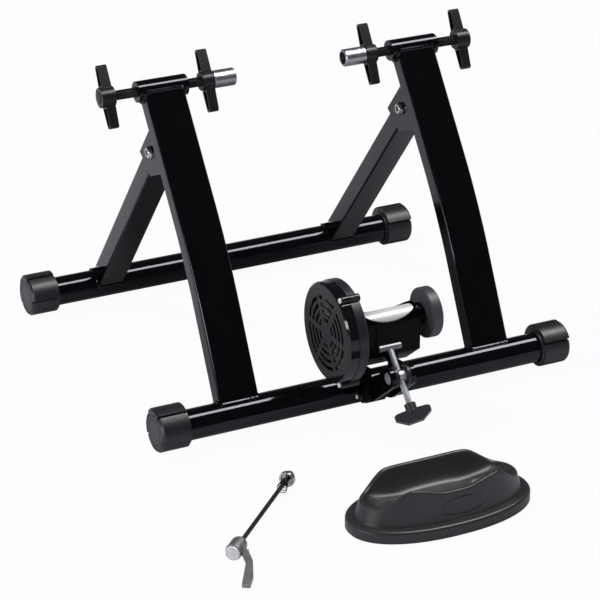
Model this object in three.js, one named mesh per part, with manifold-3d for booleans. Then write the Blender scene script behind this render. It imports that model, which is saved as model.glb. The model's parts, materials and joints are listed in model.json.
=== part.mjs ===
// Folding bike trainer with a magnetic resistance unit, its axle skewer and its front wheel block.
// Millimetres. +X runs to the right along the crossbars, +Y to the rear frame, +Z up from the floor.
// The bare shapes are drawn with the front crossbar over y = 0, and the whole is centred at the end.
import * as THREE from 'three';
import { mergeVertices } from 'three/addons/utils/BufferGeometryUtils.js';
import Module from 'manifold-3d';

const wasm = await Module();
wasm.setup();

// Fits shared by every piece
const seat = 0.3; // gap between two pieces that rest on each other
const overrun = 3; // how far a cutter runs past the face that it opens

// Crossbars and their rubber foot caps
const barRadius = 18.2;
const barWall = 2;
const frontSpan = 539;
const rearSpan = 544.5;
const barOffset = -2.5;
const rearSetback = 408.4;
const capRadius = 28;
const capLength = 38;
const capEndWall = 5;
const capEdge = 2.5;
const capCollarLength = 2.5;
const capCollarRadius = 21.5;
const capGrooveDepth = 6.4;
const capDrops = [4, 2, 0, 1, 4];
const capGrooveAngle = THREE.MathUtils.degToRad(5);
const capFacets = 5;

// Uprights and the sleeves welded on top of them
const uprightOffset = 166;
const uprightWidth = 50;
const uprightDepth = 22.5;
const uprightWall = 2;
const uprightCorner = 3.5;
const uprightLowLean = THREE.MathUtils.degToRad(27.2);
const uprightHighLean = THREE.MathUtils.degToRad(37);
const uprightLowLength = 107;
const uprightBendRadius = 868;
const uprightHighLength = 136;
const uprightBendSteps = 6;
const sleeveRadius = 12.7;
const sleeveLength = 63;

// Rear legs and the hinge brackets that hold them
const pivotSetback = 195.4;
const pivotRise = 257.8;
const legWidth = 34;
const legDepth = 25;
const legWall = 2;
const legCorner = 2.5;
const legShift = 3.6;
const legOverPivot = 9;
const legMouthHigh = 17.5;
const legMouthLow = 67;
const legTongueEnd = 0;
const bracketWall = 3.4;
const bracketReach = 26;
const bracketWebReach = 30.5;
const bracketUnder = 18.2;
const bracketCornerBack = 33.5;
const bracketCornerRise = 4.5;
const bracketStopGap = 11;
const hingeBoltRadius = 4;
const hingeHeadRadius = 8;
const hingeHeadHeight = 5;
const hingeDomeShares = [[1, 0.72], [0.6, 0.94]];
const hingeRecessRadius = 3.4;
const hingeRecessDepth = 2.6;
const hingeNutRadius = 7.5;
const hingeNutHeight = 7;

// Axle clamps
const spindleRadius = 6;
const wingCentreOut = 67;
const wingThickness = 11.6;
const wingSpan = 75;
const wingTipWidth = 8;
const wingRootWidth = 13;
const wingTilt = THREE.MathUtils.degToRad(29);
const wingPocketDepth = 4.2;
const wingRim = 1.6;
const handleHubRadius = 12;
const handleHubOut = 4;
const handleHubIn = 1.5;
const spindleTipOut = 0.6;
const lockCentreIn = 59;
const lockHubRadius = 11;
const lockHubSide = 1;
const washerThickness = 1.6;
const washerRadius = 11;
const cupRadius = 10.6;
const cupLength = 28.5;
const cupBoreRadius = 8;
const cupBoreDepth = 17;
const cupChamfer = 1;
const cupShankDepth = 8;

// Hinge of the resistance unit on its crossbar bracket
const unitPivotFront = 36;
const unitPivotRise = 8;
const unitBoltRadius = 4;
const unitBoltHeadRadius = 7.5;
const unitBoltHeadHeight = 5.5;
const unitNutHeight = 6.5;
const earWall = 5;
const earGap = 21.3;
const earPivotRadius = 10;
const earRootHeight = 13;
const earBackSetback = 6;
const earWebWall = 5;
const earWebHeight = 22;
const yokeLegWall = 9.8;
const yokeLegRadius = 9;
const springMeanRadius = 7.4;
const springWire = 2;
const springTurns = 5;
const springSteps = 8;
const springSides = 5;

// Resistance unit
const axisFront = 37.5;
const axisRise = 99.4;
const yokeLeft = -47;
const yokeRight = 40.5;
const yokeStep = -16.6;
const yokeStepDepth = 1.2;
const yokeFront = 17;
const yokeFaceBottom = 35.8;
const yokeUnderside = 61.7;
const yokeUnderBack = 15.3;
const troughRadius = 14.8;
const saddleRadius = 66;
const saddleRise = 5.3;
const rollerLeft = -27;
const rollerRight = 37;
const rollerRadius = 14;
const rollerEndGap = 0.6;
const bossRadius = 13.5;
const bossLength = 8;
const shaftRadius = 5;
const bearingRadius = 11;
const bearingWidth = 8;
const flywheelRadius = 30;
const flywheelWidth = 14.2;
const flywheelGap = 1.8;
const flywheelRecessRadius = 21;
const flywheelRecessDepth = 4;
const flywheelEdge = 1.2;
const shaftNutRadius = 8;
const shaftNutWidth = 5.5;

// Housing with the magnets and the aluminium disc
const housingRadius = 60.2;
const housingWall = 2.2;
const housingBackDepth = 12.6;
const housingHubRadius = 13;
const coverDepth = 12.6;
const coverBevel = 2;
const coverLip = 0.7;
const coverFaceRadius = 57;
const ventSectors = 6;
const ventRows = 4;
const ventFirstRadius = 16;
const ventPitch = 8.8;
const ventWidth = 4.6;
const ventRib = 7;
const ventSteps = 3;
const screwCircle = 61;
const screwPostRadius = 4.6;
const screwFirstAngle = THREE.MathUtils.degToRad(30);
const screwCount = 2;
const screwStep = THREE.MathUtils.degToRad(120);
const screwRadius = 1.6;
const screwHeadRadius = 3;
const screwHeadHeight = 2;
const screwSink = 3;
const magnetPlateRadius = 46;
const magnetPlateInner = 15;
const magnetPlateWall = 2;
const magnetCount = 8;
const magnetCircle = 36;
const magnetRadius = 7.5;
const magnetHeight = 2.6;
const discRadius = 50;
const discWall = 2.2;
const discGap = 1.5;
const discHoleCircle = 27;
const discHoleRadius = 5;
const discHoles = 6;
const discHubRadius = 9;
const discHubLength = 5;

// Adjuster: cross bar, screw, barrel, bushes and knob
const hookFront = 55.2;
const hookRise = 74;
const crossBarRadius = 4;
const crossBarLength = 28.4;
const crossBarBore = 5;
const grooveClearance = 1.3;
const barrelFront = 81.1;
const barrelRise = 48.3;
const barrelRadius = 7;
const barrelOverhang = 0.5;
const bushRadius = 12.5;
const bushWidth = 5.3;
const earHeadRadius = 12.5;
const screwRodRadius = 3.7;
const screwNeckRadius = 2.2;
const knobFromHook = 70.8;
const knobCollarRadius = 6.7;
const knobCollarLength = 8;
const knobHeight = 15;
const knobSpan = 43;
const knobThickness = 11;
const knobShoulder = 7;
const knobNose = 15;
const knobGrip = 9;
const knobTurn = THREE.MathUtils.degToRad(25);

// Skewer lying on the floor in front
const skewerNutPlace = new THREE.Vector2(-173.7, -141.5);
const skewerAngle = THREE.MathUtils.degToRad(224.5);
const skewerRodRadius = 2.4;
const skewerReach = 165.4;
const skewerNutRadius = 9.2;
const skewerNutBase = 5;
const skewerNutLength = 15;
const skewerNutTip = 4.6;
const skewerNutMouth = 6.6;
const skewerNutMouthDepth = 3.2;
const skewerNutTaperShares = [0.7, 0.78];
const camHousingRadius = 9.2;
const camHousingLength = 22;
const camWaist = 7.6;
const camPinShare = 0.78;
const camWaistShare = 0.2;
const camCapRadius = 8.2;
const camCapThickness = 3;
const leverPinRadius = 3.6;
const leverThickness = 5;
const leverDip = THREE.MathUtils.degToRad(5);
const leverSpine = [[0, 11], [6, 15.5], [16, 22.5], [39, 30], [56, 33.5]];
const leverHalfWidths = [3.4, 3.6, 3.6, 5, 4.4];

// Front wheel block
const blockPlace = new THREE.Vector2(-47.9, -261.9);
const blockLength = 219;
const blockWidth = 112;
const blockPower = 2.2;
const blockRim = 14;
const blockRimEdge = 3;
const blockLedge = 10;
const blockDraft = 5;
const blockWall = 6;
const blockEnd = 33;
const blockHump = 54;
const blockFarHump = 48.5;
const blockLipDrop = 1.5;
const blockDip = 7.5;
const blockFarDip = 2;
const troughFloor = 21;
const troughHalfWidth = 13;
const troughEndInset = 24;
const blockHollowWall = 5;
const blockHollowDepth = 11;
const blockSteps = 44;

// Heights and lengths that follow from the sizes above
const barHeight = capRadius - capDrops[0];
const uprightBendLength = uprightBendRadius * (uprightHighLean - uprightLowLean);
const uprightLength = uprightLowLength + uprightBendLength + uprightHighLength;
const [sleeveSetback, sleeveRise] = uprightSpine(uprightLength);
const rearReach = Math.hypot(rearSetback - pivotSetback, pivotRise);
const legAlong = Math.sqrt(rearReach ** 2 - legShift ** 2);
const legAngle = Math.atan2(rearSetback - pivotSetback, pivotRise) - Math.asin(legShift / rearReach);

// Place on an upright's centre line and the lean there, for a length measured up from the crossbar
function uprightSpine(along) {
  const low = Math.min(along, uprightLowLength);
  const bent = Math.min(Math.max(along - uprightLowLength, 0), uprightBendLength);
  const high = Math.max(along - uprightLowLength - uprightBendLength, 0);
  const lean = uprightLowLean + bent / uprightBendRadius;
  const back = low * Math.sin(uprightLowLean) + high * Math.sin(lean)
    + uprightBendRadius * (Math.cos(uprightLowLean) - Math.cos(lean));
  const rise = low * Math.cos(uprightLowLean) + high * Math.cos(lean)
    + uprightBendRadius * (Math.sin(lean) - Math.sin(uprightLowLean));
  return [back, rise, lean];
}

// Solids: three.js shapes are joined and cut as closed bodies
function shell(geometry) {
  const bare = geometry.clone();
  bare.deleteAttribute('normal');
  bare.deleteAttribute('uv');
  const merged = mergeVertices(bare);
  const points = merged.attributes.position.array;
  const corners = merged.index.array;
  const kept = [];
  let volume = 0;
  for (let i = 0; i < corners.length; i += 3) {
    const [a, b, c] = corners.slice(i, i + 3);
    if (a === b || b === c || c === a) continue;
    const [p, q, r] = [a, b, c].map((n) => new THREE.Vector3().fromArray(points, 3 * n));
    volume += p.dot(q.cross(r));
    kept.push(a, b, c);
  }
  if (volume < 0) kept.reverse();
  return { points, kept };
}

function bodyOf(geometry) {
  const { points, kept } = shell(geometry);
  return new wasm.Manifold(new wasm.Mesh({
    numProp: 3,
    vertProperties: new Float32Array(points),
    triVerts: new Uint32Array(kept),
  }));
}

function geometryOf(body) {
  const mesh = body.getMesh();
  const geometry = new THREE.BufferGeometry();
  geometry.setAttribute('position', new THREE.BufferAttribute(mesh.vertProperties, 3));
  geometry.setIndex(new THREE.BufferAttribute(mesh.triVerts, 1));
  geometry.computeVertexNormals();
  return geometry;
}

function cut(geometry, ...cutters) {
  const start = bodyOf(geometry);
  return geometryOf(cutters.reduce((body, cutter) => body.subtract(bodyOf(cutter)), start));
}

function join(...geometries) {
  const bodies = geometries.map(bodyOf);
  return geometryOf(bodies.reduce((body, other) => body.add(other)));
}

function whole(geometry) {
  return geometryOf(bodyOf(geometry));
}

// Outlines: lists of points in the plane that an extrusion then carries along its axis
function polar(radius, angle, centre = [0, 0]) {
  return [centre[0] + radius * Math.cos(angle), centre[1] + radius * Math.sin(angle)];
}

function circle(radius, sides, centre = [0, 0], start = 0) {
  return Array.from({ length: sides }, (_, i) => polar(radius, start + (2 * Math.PI * i) / sides, centre));
}

function arc(radius, from, to, steps, centre = [0, 0]) {
  return Array.from({ length: steps + 1 }, (_, i) => polar(radius, from + ((to - from) * i) / steps, centre));
}

function roundedBox(width, height, corner, steps = 3) {
  const points = [];
  for (let i = 0; i < 4; i += 1) {
    const signs = [[1, 1], [-1, 1], [-1, -1], [1, -1]][i];
    const centre = [signs[0] * (width / 2 - corner), signs[1] * (height / 2 - corner)];
    points.push(...arc(corner, (i * Math.PI) / 2, ((i + 1) * Math.PI) / 2, steps, centre));
  }
  return points;
}

function outline(points, ...holes) {
  const shape = new THREE.Shape(points.map(([a, b]) => new THREE.Vector2(a, b)));
  for (const hole of holes) {
    shape.holes.push(new THREE.Path(hole.map(([a, b]) => new THREE.Vector2(a, b))));
  }
  return shape;
}

function hull(points) {
  const sorted = [...points].sort((a, b) => a[0] - b[0] || a[1] - b[1]);
  const side = (list) => {
    const chain = [];
    for (const point of list) {
      while (chain.length > 1) {
        const [o, a] = chain.slice(-2);
        const cross = (a[0] - o[0]) * (point[1] - o[1]) - (a[1] - o[1]) * (point[0] - o[0]);
        if (cross > 0) break;
        chain.pop();
      }
      chain.push(point);
    }
    return chain.slice(0, -1);
  };
  return [...side(sorted), ...side(sorted.reverse())];
}

// Extrusions: an outline in (y, z) carried along X, in (x, z) along Y, and in (x, y) along Z
function extruded(shape, depth) {
  return new THREE.ExtrudeGeometry(shape, { depth, bevelEnabled: false });
}

function alongX(shape, from, to) {
  const turn = new THREE.Matrix4().set(0, 0, 1, from, 1, 0, 0, 0, 0, 1, 0, 0, 0, 0, 0, 1);
  return extruded(shape, to - from).applyMatrix4(turn);
}

function alongY(shape, from, to) {
  return extruded(shape, to - from).rotateX(Math.PI / 2).translate(0, to, 0);
}

function alongZ(shape, from, to) {
  return extruded(shape, to - from).translate(0, 0, from);
}

// A profile of [place, radius] points turned about X; a ring's profile closes on itself
function turned(profile, sides = 32) {
  const points = profile.map(([place, radius]) => new THREE.Vector2(radius, place));
  const lathe = new THREE.LatheGeometry(points, sides);
  return lathe.applyMatrix4(new THREE.Matrix4().set(0, 1, 0, 0, 0, 0, 1, 0, 1, 0, 0, 0, 0, 0, 0, 1));
}

function rod(radius, from, to, sides = 20) {
  return turned([[from, 0], [from, radius], [to, radius], [to, 0]], sides);
}

function ring(inner, outer, from, to, sides = 28) {
  return turned([[from, inner], [from, outer], [to, outer], [to, inner], [from, inner]], sides);
}

function boxBetween(low, high) {
  const size = high.map((value, i) => value - low[i]);
  const middle = high.map((value, i) => (value + low[i]) / 2);
  return new THREE.BoxGeometry(...size).translate(...middle);
}

// Finishes
const finishes = {
  paint: { color: 0x0e0e11, roughness: 0.22, metalness: 0.1 },
  rubber: { color: 0x24262a, roughness: 0.62, metalness: 0 },
  chrome: { color: 0xc9cbd0, roughness: 0.12, metalness: 1 },
  zinc: { color: 0xa9b3b8, roughness: 0.35, metalness: 1 },
  steel: { color: 0x8d8f94, roughness: 0.4, metalness: 1 },
  bright: { color: 0xe4e4e6, roughness: 0.25, metalness: 0.9 },
  black_steel: { color: 0x1c1c1e, roughness: 0.45, metalness: 0.7 },
  knob_plastic: { color: 0x121318, roughness: 0.5, metalness: 0 },
  gloss_plastic: { color: 0x15151a, roughness: 0.15, metalness: 0 },
  aluminium: { color: 0xb7a58c, roughness: 0.4, metalness: 0.9 },
  cast_black: { color: 0x17181d, roughness: 0.4, metalness: 0.3 },
  magnet: { color: 0x5c5e63, roughness: 0.35, metalness: 0.9 },
  block_plastic: { color: 0x1a1b1f, roughness: 0.45, metalness: 0 },
};

const trainer = new THREE.Group();

function place(parent, x, y, z, turnX = 0, turnZ = 0) {
  const group = new THREE.Group();
  group.position.set(x, y, z);
  group.rotation.set(turnX, 0, turnZ);
  parent.add(group);
  return group;
}

function piece(parent, name, geometry, finish) {
  const mesh = new THREE.Mesh(geometry, new THREE.MeshStandardMaterial(finishes[finish]));
  mesh.name = name;
  parent.add(mesh);
  return mesh;
}

// Crossbars: open steel tubes that end inside the foot caps
function crossbar(span) {
  const half = span / 2 - capEndWall - seat;
  return ring(barRadius - barWall, barRadius, -half, half);
}

// Foot cap: five segments of different radius, so that turning the cap levels the frame
function footCap(side, turnedFacets) {
  const segment = (2 * Math.PI) / capDrops.length;
  const facet = (segment - capGrooveAngle) / capFacets;
  const treadOutline = [];
  capDrops.forEach((drop, i) => {
    const from = -Math.PI / 2 - segment / 2 + i * segment + capGrooveAngle / 2 + turnedFacets * facet;
    const to = from + capFacets * facet;
    treadOutline.push(polar(capRadius - capGrooveDepth, from));
    treadOutline.push(...arc((capRadius - drop) / Math.cos(facet / 2), from, to, capFacets));
    treadOutline.push(polar(capRadius - capGrooveDepth, to));
  });
  const shrunk = (capRadius - capEdge) / capRadius;
  const stations = [[-capLength + capCollarLength, 1], [-capEdge, 1], [0, shrunk]];
  const body = new THREE.ExtrudeGeometry(outline(treadOutline), { depth: 2, steps: 2, bevelEnabled: false });
  const points = body.attributes.position;
  for (let i = 0; i < points.count; i += 1) {
    const [along, scale] = stations[Math.round(points.getZ(i))];
    points.setXYZ(i, side * along, scale * points.getX(i), scale * points.getY(i));
  }
  const span = (from, to) => [side * from, side * to].sort((a, b) => a - b);
  const collar = rod(capCollarRadius, ...span(-capLength, -capLength + capCollarLength + overrun), 28);
  const bore = rod(barRadius + seat, ...span(-capLength - overrun, -capEndWall), 28);
  return cut(join(body, collar), bore);
}

const front = place(trainer, 0, 0, barHeight);
const frontBar = place(front, barOffset, 0, 0);
piece(frontBar, 'front_crossbar', crossbar(frontSpan), 'paint');
piece(place(frontBar, -frontSpan / 2, 0, 0), 'front_left_cap', footCap(-1, 2), 'rubber');
piece(place(frontBar, frontSpan / 2, 0, 0), 'front_right_cap', footCap(1, -1), 'rubber');

// Uprights: rectangular tubes with a gentle bend, shaped at both ends to the round tubes they join
function upright() {
  const outer = roundedBox(uprightWidth, uprightDepth, uprightCorner);
  const bore = roundedBox(uprightWidth - 2 * uprightWall, uprightDepth - 2 * uprightWall, uprightCorner - uprightWall);
  const reach = uprightWidth / 2 + overrun;
  const stops = [0, ...Array.from({ length: uprightBendSteps + 1 }, (_, i) => (
    uprightLowLength + (uprightBendLength * i) / uprightBendSteps
  )), uprightLength];
  const steps = stops.length - 1;
  const tube = new THREE.ExtrudeGeometry(outline(outer, bore), { depth: steps, steps, bevelEnabled: false });
  const points = tube.attributes.position;
  for (let i = 0; i < points.count; i += 1) {
    const [back, rise, lean] = uprightSpine(stops[Math.round(points.getZ(i))]);
    const behind = points.getY(i);
    points.setXYZ(i, points.getX(i), back + behind * Math.cos(lean), rise - behind * Math.sin(lean));
  }
  return cut(
    tube,
    rod(barRadius + seat, -reach, reach, 28),
    rod(sleeveRadius + seat, -reach, reach, 24).translate(0, sleeveSetback, sleeveRise),
  );
}

for (const [name, side] of [['left', -1], ['right', 1]]) {
  const post = place(front, side * uprightOffset, 0, 0);
  piece(post, `${name}_upright`, upright(), 'paint');
  const sleeve = ring(spindleRadius + seat, sleeveRadius, -sleeveLength / 2, sleeveLength / 2, 24);
  piece(place(post, 0, sleeveSetback, sleeveRise), `${name}_axle_sleeve`, sleeve, 'paint');
}

// Rear frame: it swings on the two hinge bolts, and its legs are drawn hanging straight down
const rear = place(trainer, barOffset, pivotSetback, barHeight + pivotRise, legAngle);
const rearBar = place(rear, 0, legShift, -legAlong);
piece(rearBar, 'rear_crossbar', crossbar(rearSpan), 'paint');
piece(place(rearBar, -rearSpan / 2, 0, 0, -legAngle), 'rear_left_cap', footCap(-1, 1), 'rubber');
piece(place(rearBar, rearSpan / 2, 0, 0, -legAngle), 'rear_right_cap', footCap(1, -1), 'rubber');

function rearLeg() {
  const outer = roundedBox(legWidth, legDepth, legCorner);
  const bore = roundedBox(legWidth - 2 * legWall, legDepth - 2 * legWall, legCorner - legWall / 2);
  const reach = legWidth / 2 + overrun;
  const foot = -legAlong - legTongueEnd;
  const [front, back] = [legShift - legDepth / 2, legShift + legDepth / 2];
  const mouth = [
    [front + legWall, -legAlong + legMouthLow],
    [back + overrun, -legAlong + legMouthHigh],
    [back + overrun, foot - overrun],
    [front + legWall, foot - overrun],
  ];
  return cut(
    alongZ(outline(outer, bore), foot, legOverPivot).translate(0, legShift, 0),
    alongX(outline(mouth), -reach, reach),
    rod(barRadius + seat, -reach, reach, 28).translate(0, legShift, -legAlong),
    rod(hingeBoltRadius + seat, -reach, reach, 16),
  );
}

// Hinge bracket: a bent channel whose web stops the leg and whose cheeks reach to the upright
const legPlay = seat;
const bracketHalf = legWidth / 2 + legPlay + bracketWall;
const webInner = legShift + legDepth / 2 + seat;

function uprightBackAt(localY) {
  // Height in the leg's frame of the upright's rear face, found from both frames' angles
  const turnBack = uprightHighLean + legAngle;
  const fromSleeve = [pivotSetback - sleeveSetback, pivotRise - sleeveRise];
  const behind = fromSleeve[0] * Math.cos(uprightHighLean) - fromSleeve[1] * Math.sin(uprightHighLean);
  return (behind - uprightDepth / 2 - seat + localY * Math.cos(turnBack)) / Math.sin(turnBack);
}

function hingeBracket() {
  const web = webInner + bracketWall;
  const back = -bracketCornerBack;
  const cheek = [
    [web, uprightBackAt(web)],
    [web, -bracketWebReach],
    [-bracketUnder, -bracketReach],
    [back, Math.min(bracketCornerRise, uprightBackAt(back))],
    [back, uprightBackAt(back)],
  ];
  const half = legWidth / 2 + legPlay;
  const hollow = [
    [webInner, -bracketWebReach - overrun],
    [webInner, -bracketStopGap],
    [web + overrun, -bracketStopGap],
    [web + overrun, uprightBackAt(web) + legDepth],
    [back - overrun, uprightBackAt(web) + legDepth],
    [back - overrun, -bracketWebReach - overrun],
  ];
  return cut(
    alongX(outline(cheek), -bracketHalf, bracketHalf),
    alongX(outline(hollow), -half, half),
    rod(hingeBoltRadius + seat, -bracketHalf - overrun, bracketHalf + overrun, 16),
  );
}

// Hinge bolt with a domed head and a socket in it, and its nut
function hingeBolt() {
  const face = -bracketHalf - seat;
  const tip = bracketHalf + seat + hingeNutHeight;
  const top = face - hingeHeadHeight;
  return turned([
    [top + hingeRecessDepth, 0],
    [top + hingeRecessDepth, hingeRecessRadius],
    [top, hingeRecessRadius],
    ...hingeDomeShares.map(([rise, out]) => [face - hingeHeadHeight * rise, hingeHeadRadius * out]),
    [face, hingeHeadRadius],
    [face, hingeBoltRadius],
    [tip, hingeBoltRadius],
    [tip, 0],
  ], 16);
}

function hexNut(outer, bore, from, to) {
  return alongX(outline(circle(outer, 6), circle(bore, 16)), from, to);
}

for (const [name, side] of [['left', -1], ['right', 1]]) {
  const hinge = place(rear, side * uprightOffset - barOffset, 0, 0);
  piece(hinge, `${name}_rear_leg`, rearLeg(), 'paint');
  piece(hinge, `${name}_hinge_bracket`, hingeBracket(), 'paint');
  piece(hinge, `${name}_hinge_bolt`, hingeBolt(), 'steel');
  const nutFrom = bracketHalf + seat;
  const nut = hexNut(hingeNutRadius, hingeBoltRadius + seat, nutFrom, nutFrom + hingeNutHeight);
  piece(hinge, `${name}_hinge_nut`, nut, 'steel');
}

// Winged handle: two tapering wings with a pocket on each side, round a hub for the spindle
function wingedHandle(tilt, hubRadius, hubFrom, hubTo) {
  const half = wingSpan / 2;
  const taper = (along) => {
    const share = (along - hubRadius) / (half - hubRadius);
    return (wingRootWidth + (wingTipWidth - wingRootWidth) * share) / 2;
  };
  const tip = half - wingTipWidth / 4;
  const wings = [
    [-taper(hubRadius), hubRadius], [-taper(tip), tip], [-wingTipWidth / 4, half],
    [wingTipWidth / 4, half], [taper(tip), tip], [taper(hubRadius), hubRadius],
  ];
  const bothWings = [...wings, ...wings.map(([a, b]) => [-a, -b])];
  const pocketFrom = hubRadius + wingRim;
  const pocketTo = half - 2 * wingRim;
  const pocket = [
    [-taper(pocketFrom) + wingRim, pocketFrom], [-taper(pocketTo) + wingRim, pocketTo],
    [taper(pocketTo) - wingRim, pocketTo], [taper(pocketFrom) - wingRim, pocketFrom],
  ];
  const face = wingThickness / 2;
  const pockets = [];
  for (const flip of [1, -1]) {
    const shape = outline(pocket.map(([a, b]) => [flip * a, flip * b]));
    pockets.push(alongX(shape, face - wingPocketDepth, face + overrun));
    pockets.push(alongX(shape, -face - overrun, -face + wingPocketDepth));
  }
  const hub = rod(hubRadius, hubFrom, hubTo, 24);
  const bore = rod(spindleRadius + seat, hubFrom - overrun, hubTo + overrun, 20);
  return cut(join(alongX(outline(bothWings), -face, face), hub), ...pockets, bore).rotateX(-tilt);
}

// Axle clamp, drawn with +X towards the wheel: spindle, handle, lock nut, washer and cup
const wingFace = wingThickness / 2;
const handleTop = -wingCentreOut - wingFace - handleHubOut;
const lockHubEnd = lockCentreIn + wingFace;
const cupBack = lockHubEnd + seat;
const cupFace = cupBack + cupLength;

function axleCup() {
  const shank = cupBack + cupShankDepth;
  const floor = cupFace - cupBoreDepth;
  return turned([
    [cupBack, spindleRadius + seat],
    [cupBack, cupRadius - cupChamfer],
    [cupBack + cupChamfer, cupRadius],
    [cupFace - cupChamfer, cupRadius],
    [cupFace, cupRadius - cupChamfer],
    [cupFace, cupBoreRadius],
    [floor, cupBoreRadius],
    [floor, 0],
    [shank, 0],
    [shank, spindleRadius + seat],
    [cupBack, spindleRadius + seat],
  ], 20);
}

for (const [name, side] of [['left', -1], ['right', 1]]) {
  const clamp = place(
    trainer, side * uprightOffset, sleeveSetback, barHeight + sleeveRise, 0, side > 0 ? Math.PI : 0,
  );
  const tilt = -side * wingTilt;
  const spindle = rod(spindleRadius, handleTop - spindleTipOut, cupBack + cupShankDepth - seat);
  piece(clamp, `${name}_spindle`, spindle, 'black_steel');
  piece(clamp, `${name}_axle_cup`, axleCup(), 'chrome');
  const handleGroup = place(clamp, -wingCentreOut, 0, 0);
  const handle = wingedHandle(tilt, handleHubRadius, -wingFace - handleHubOut, wingFace + handleHubIn);
  piece(handleGroup, `${name}_handle`, handle, 'knob_plastic');
  const lock = wingedHandle(tilt, lockHubRadius, -wingFace - lockHubSide, wingFace);
  piece(place(clamp, lockCentreIn, 0, 0), `${name}_lock_nut`, lock, 'knob_plastic');
  const washerTo = lockCentreIn - wingFace - lockHubSide - seat;
  const washer = ring(spindleRadius + seat, washerRadius, washerTo - washerThickness, washerTo, 20);
  piece(clamp, `${name}_lock_washer`, washer, 'zinc');
}

// Bracket on the crossbar: two ears that carry the cradle's bolt and, out in front, the barrel
const earInner = earGap / 2;
const earOuter = earInner + earWall;
const pivotPoint = [-unitPivotFront, unitPivotRise];
const barrelPoint = [-barrelFront, barrelRise];

function unitBracket() {
  const arm = hull([...circle(earPivotRadius, 20, pivotPoint), ...circle(earHeadRadius, 20, barrelPoint)]);
  const lug = hull([
    ...circle(earPivotRadius, 20, pivotPoint),
    [-earBackSetback, earRootHeight],
    [-earBackSetback, -earRootHeight],
  ]);
  const ears = [-1, 1].flatMap((side) => {
    const [from, to] = [side * earInner, side * earOuter].sort((a, b) => a - b);
    return [alongX(outline(arm), from, to), alongX(outline(lug), from, to)];
  });
  const web = boxBetween(
    [-earInner - earWall / 2, -barRadius - earWebWall, -earWebHeight / 2],
    [earInner + earWall / 2, -earBackSetback, earWebHeight / 2],
  );
  const reach = earOuter + overrun;
  const holes = [
    rod(barRadius + seat, -reach, reach, 32),
    rod(unitBoltRadius + seat, -reach, reach, 16).translate(0, ...pivotPoint),
    rod(barrelRadius + seat, -reach, reach, 24).translate(0, ...barrelPoint),
  ];
  return cut(join(...ears, web), ...holes);
}

piece(front, 'unit_bracket', unitBracket(), 'paint');

const legFace = earOuter + seat + yokeLegWall;
const pivotGroup = place(front, 0, ...pivotPoint);

function unitBolt() {
  const face = -legFace - seat;
  const head = alongX(outline(circle(unitBoltHeadRadius, 6, [0, 0], Math.PI / 6)), face - unitBoltHeadHeight, face);
  const shank = rod(unitBoltRadius, face - unitBoltHeadHeight / 2, legFace + seat + unitNutHeight, 16);
  return join(head, shank);
}

piece(pivotGroup, 'unit_bolt', unitBolt(), 'steel');
const unitNutFrom = legFace + seat;
const unitNut = hexNut(unitBoltHeadRadius, unitBoltRadius + seat, unitNutFrom, unitNutFrom + unitNutHeight);
piece(pivotGroup, 'unit_nut', unitNut, 'black_steel');

// Return spring round the cradle's bolt: one wire with its ends turned square to the ears
function springPath() {
  const end = earInner - seat;
  const coilEnd = end - springWire;
  const count = springTurns * springSteps;
  const points = [];
  for (let i = 0; i <= count; i += 1) {
    const angle = (2 * Math.PI * i) / springSteps;
    const along = -coilEnd + (2 * coilEnd * i) / count;
    points.push(new THREE.Vector3(along, springMeanRadius * Math.cos(angle), springMeanRadius * Math.sin(angle)));
  }
  const first = points[0].clone().setX(-end);
  const last = points[count].clone().setX(end);
  return [first, ...points, last];
}

function leastGap(points, wire) {
  let least = Infinity;
  points.forEach((a, i) => {
    points.slice(i + springSteps / 2 + 1).forEach((b) => {
      least = Math.min(least, a.distanceTo(b) - wire);
    });
  });
  return least;
}

function woundWire(points, wire, sides) {
  const positions = [];
  points.forEach((point, i) => {
    const before = points[Math.max(i - 1, 0)];
    const after = points[Math.min(i + 1, points.length - 1)];
    const tangent = after.clone().sub(before).normalize();
    const outward = new THREE.Vector3(0, point.y, point.z).normalize();
    outward.addScaledVector(tangent, -outward.dot(tangent)).normalize();
    const across = tangent.clone().cross(outward);
    for (let k = 0; k < sides; k += 1) {
      const angle = (2 * Math.PI * k) / sides;
      const spot = point.clone().addScaledVector(outward, (wire / 2) * Math.cos(angle));
      positions.push(...spot.addScaledVector(across, (wire / 2) * Math.sin(angle)).toArray());
    }
  });
  const last = points.length - 1;
  const corners = [];
  for (let i = 0; i < last; i += 1) {
    for (let k = 0; k < sides; k += 1) {
      const next = (k + 1) % sides;
      const [a, b] = [i * sides + k, i * sides + next];
      corners.push(a, b, a + sides, b, b + sides, a + sides);
    }
  }
  for (let k = 1; k < sides - 1; k += 1) {
    corners.push(0, k + 1, k, last * sides, last * sides + k, last * sides + k + 1);
  }
  const geometry = new THREE.BufferGeometry();
  geometry.setAttribute('position', new THREE.Float32BufferAttribute(positions, 3));
  geometry.setIndex(corners);
  return whole(geometry);
}

const springPoints = springPath();
console.log(`least gap between the spring's curls: ${leastGap(springPoints, springWire).toFixed(2)} mm`);
piece(pivotGroup, 'return_spring', woundWire(springPoints, springWire, springSides), 'steel');

// Cradle: carries the roller between two end walls and hangs on the bolt by two legs
const axisFromPivot = [unitPivotFront - axisFront, axisRise - unitPivotRise];
const unit = place(pivotGroup, 0, ...axisFromPivot);

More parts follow.
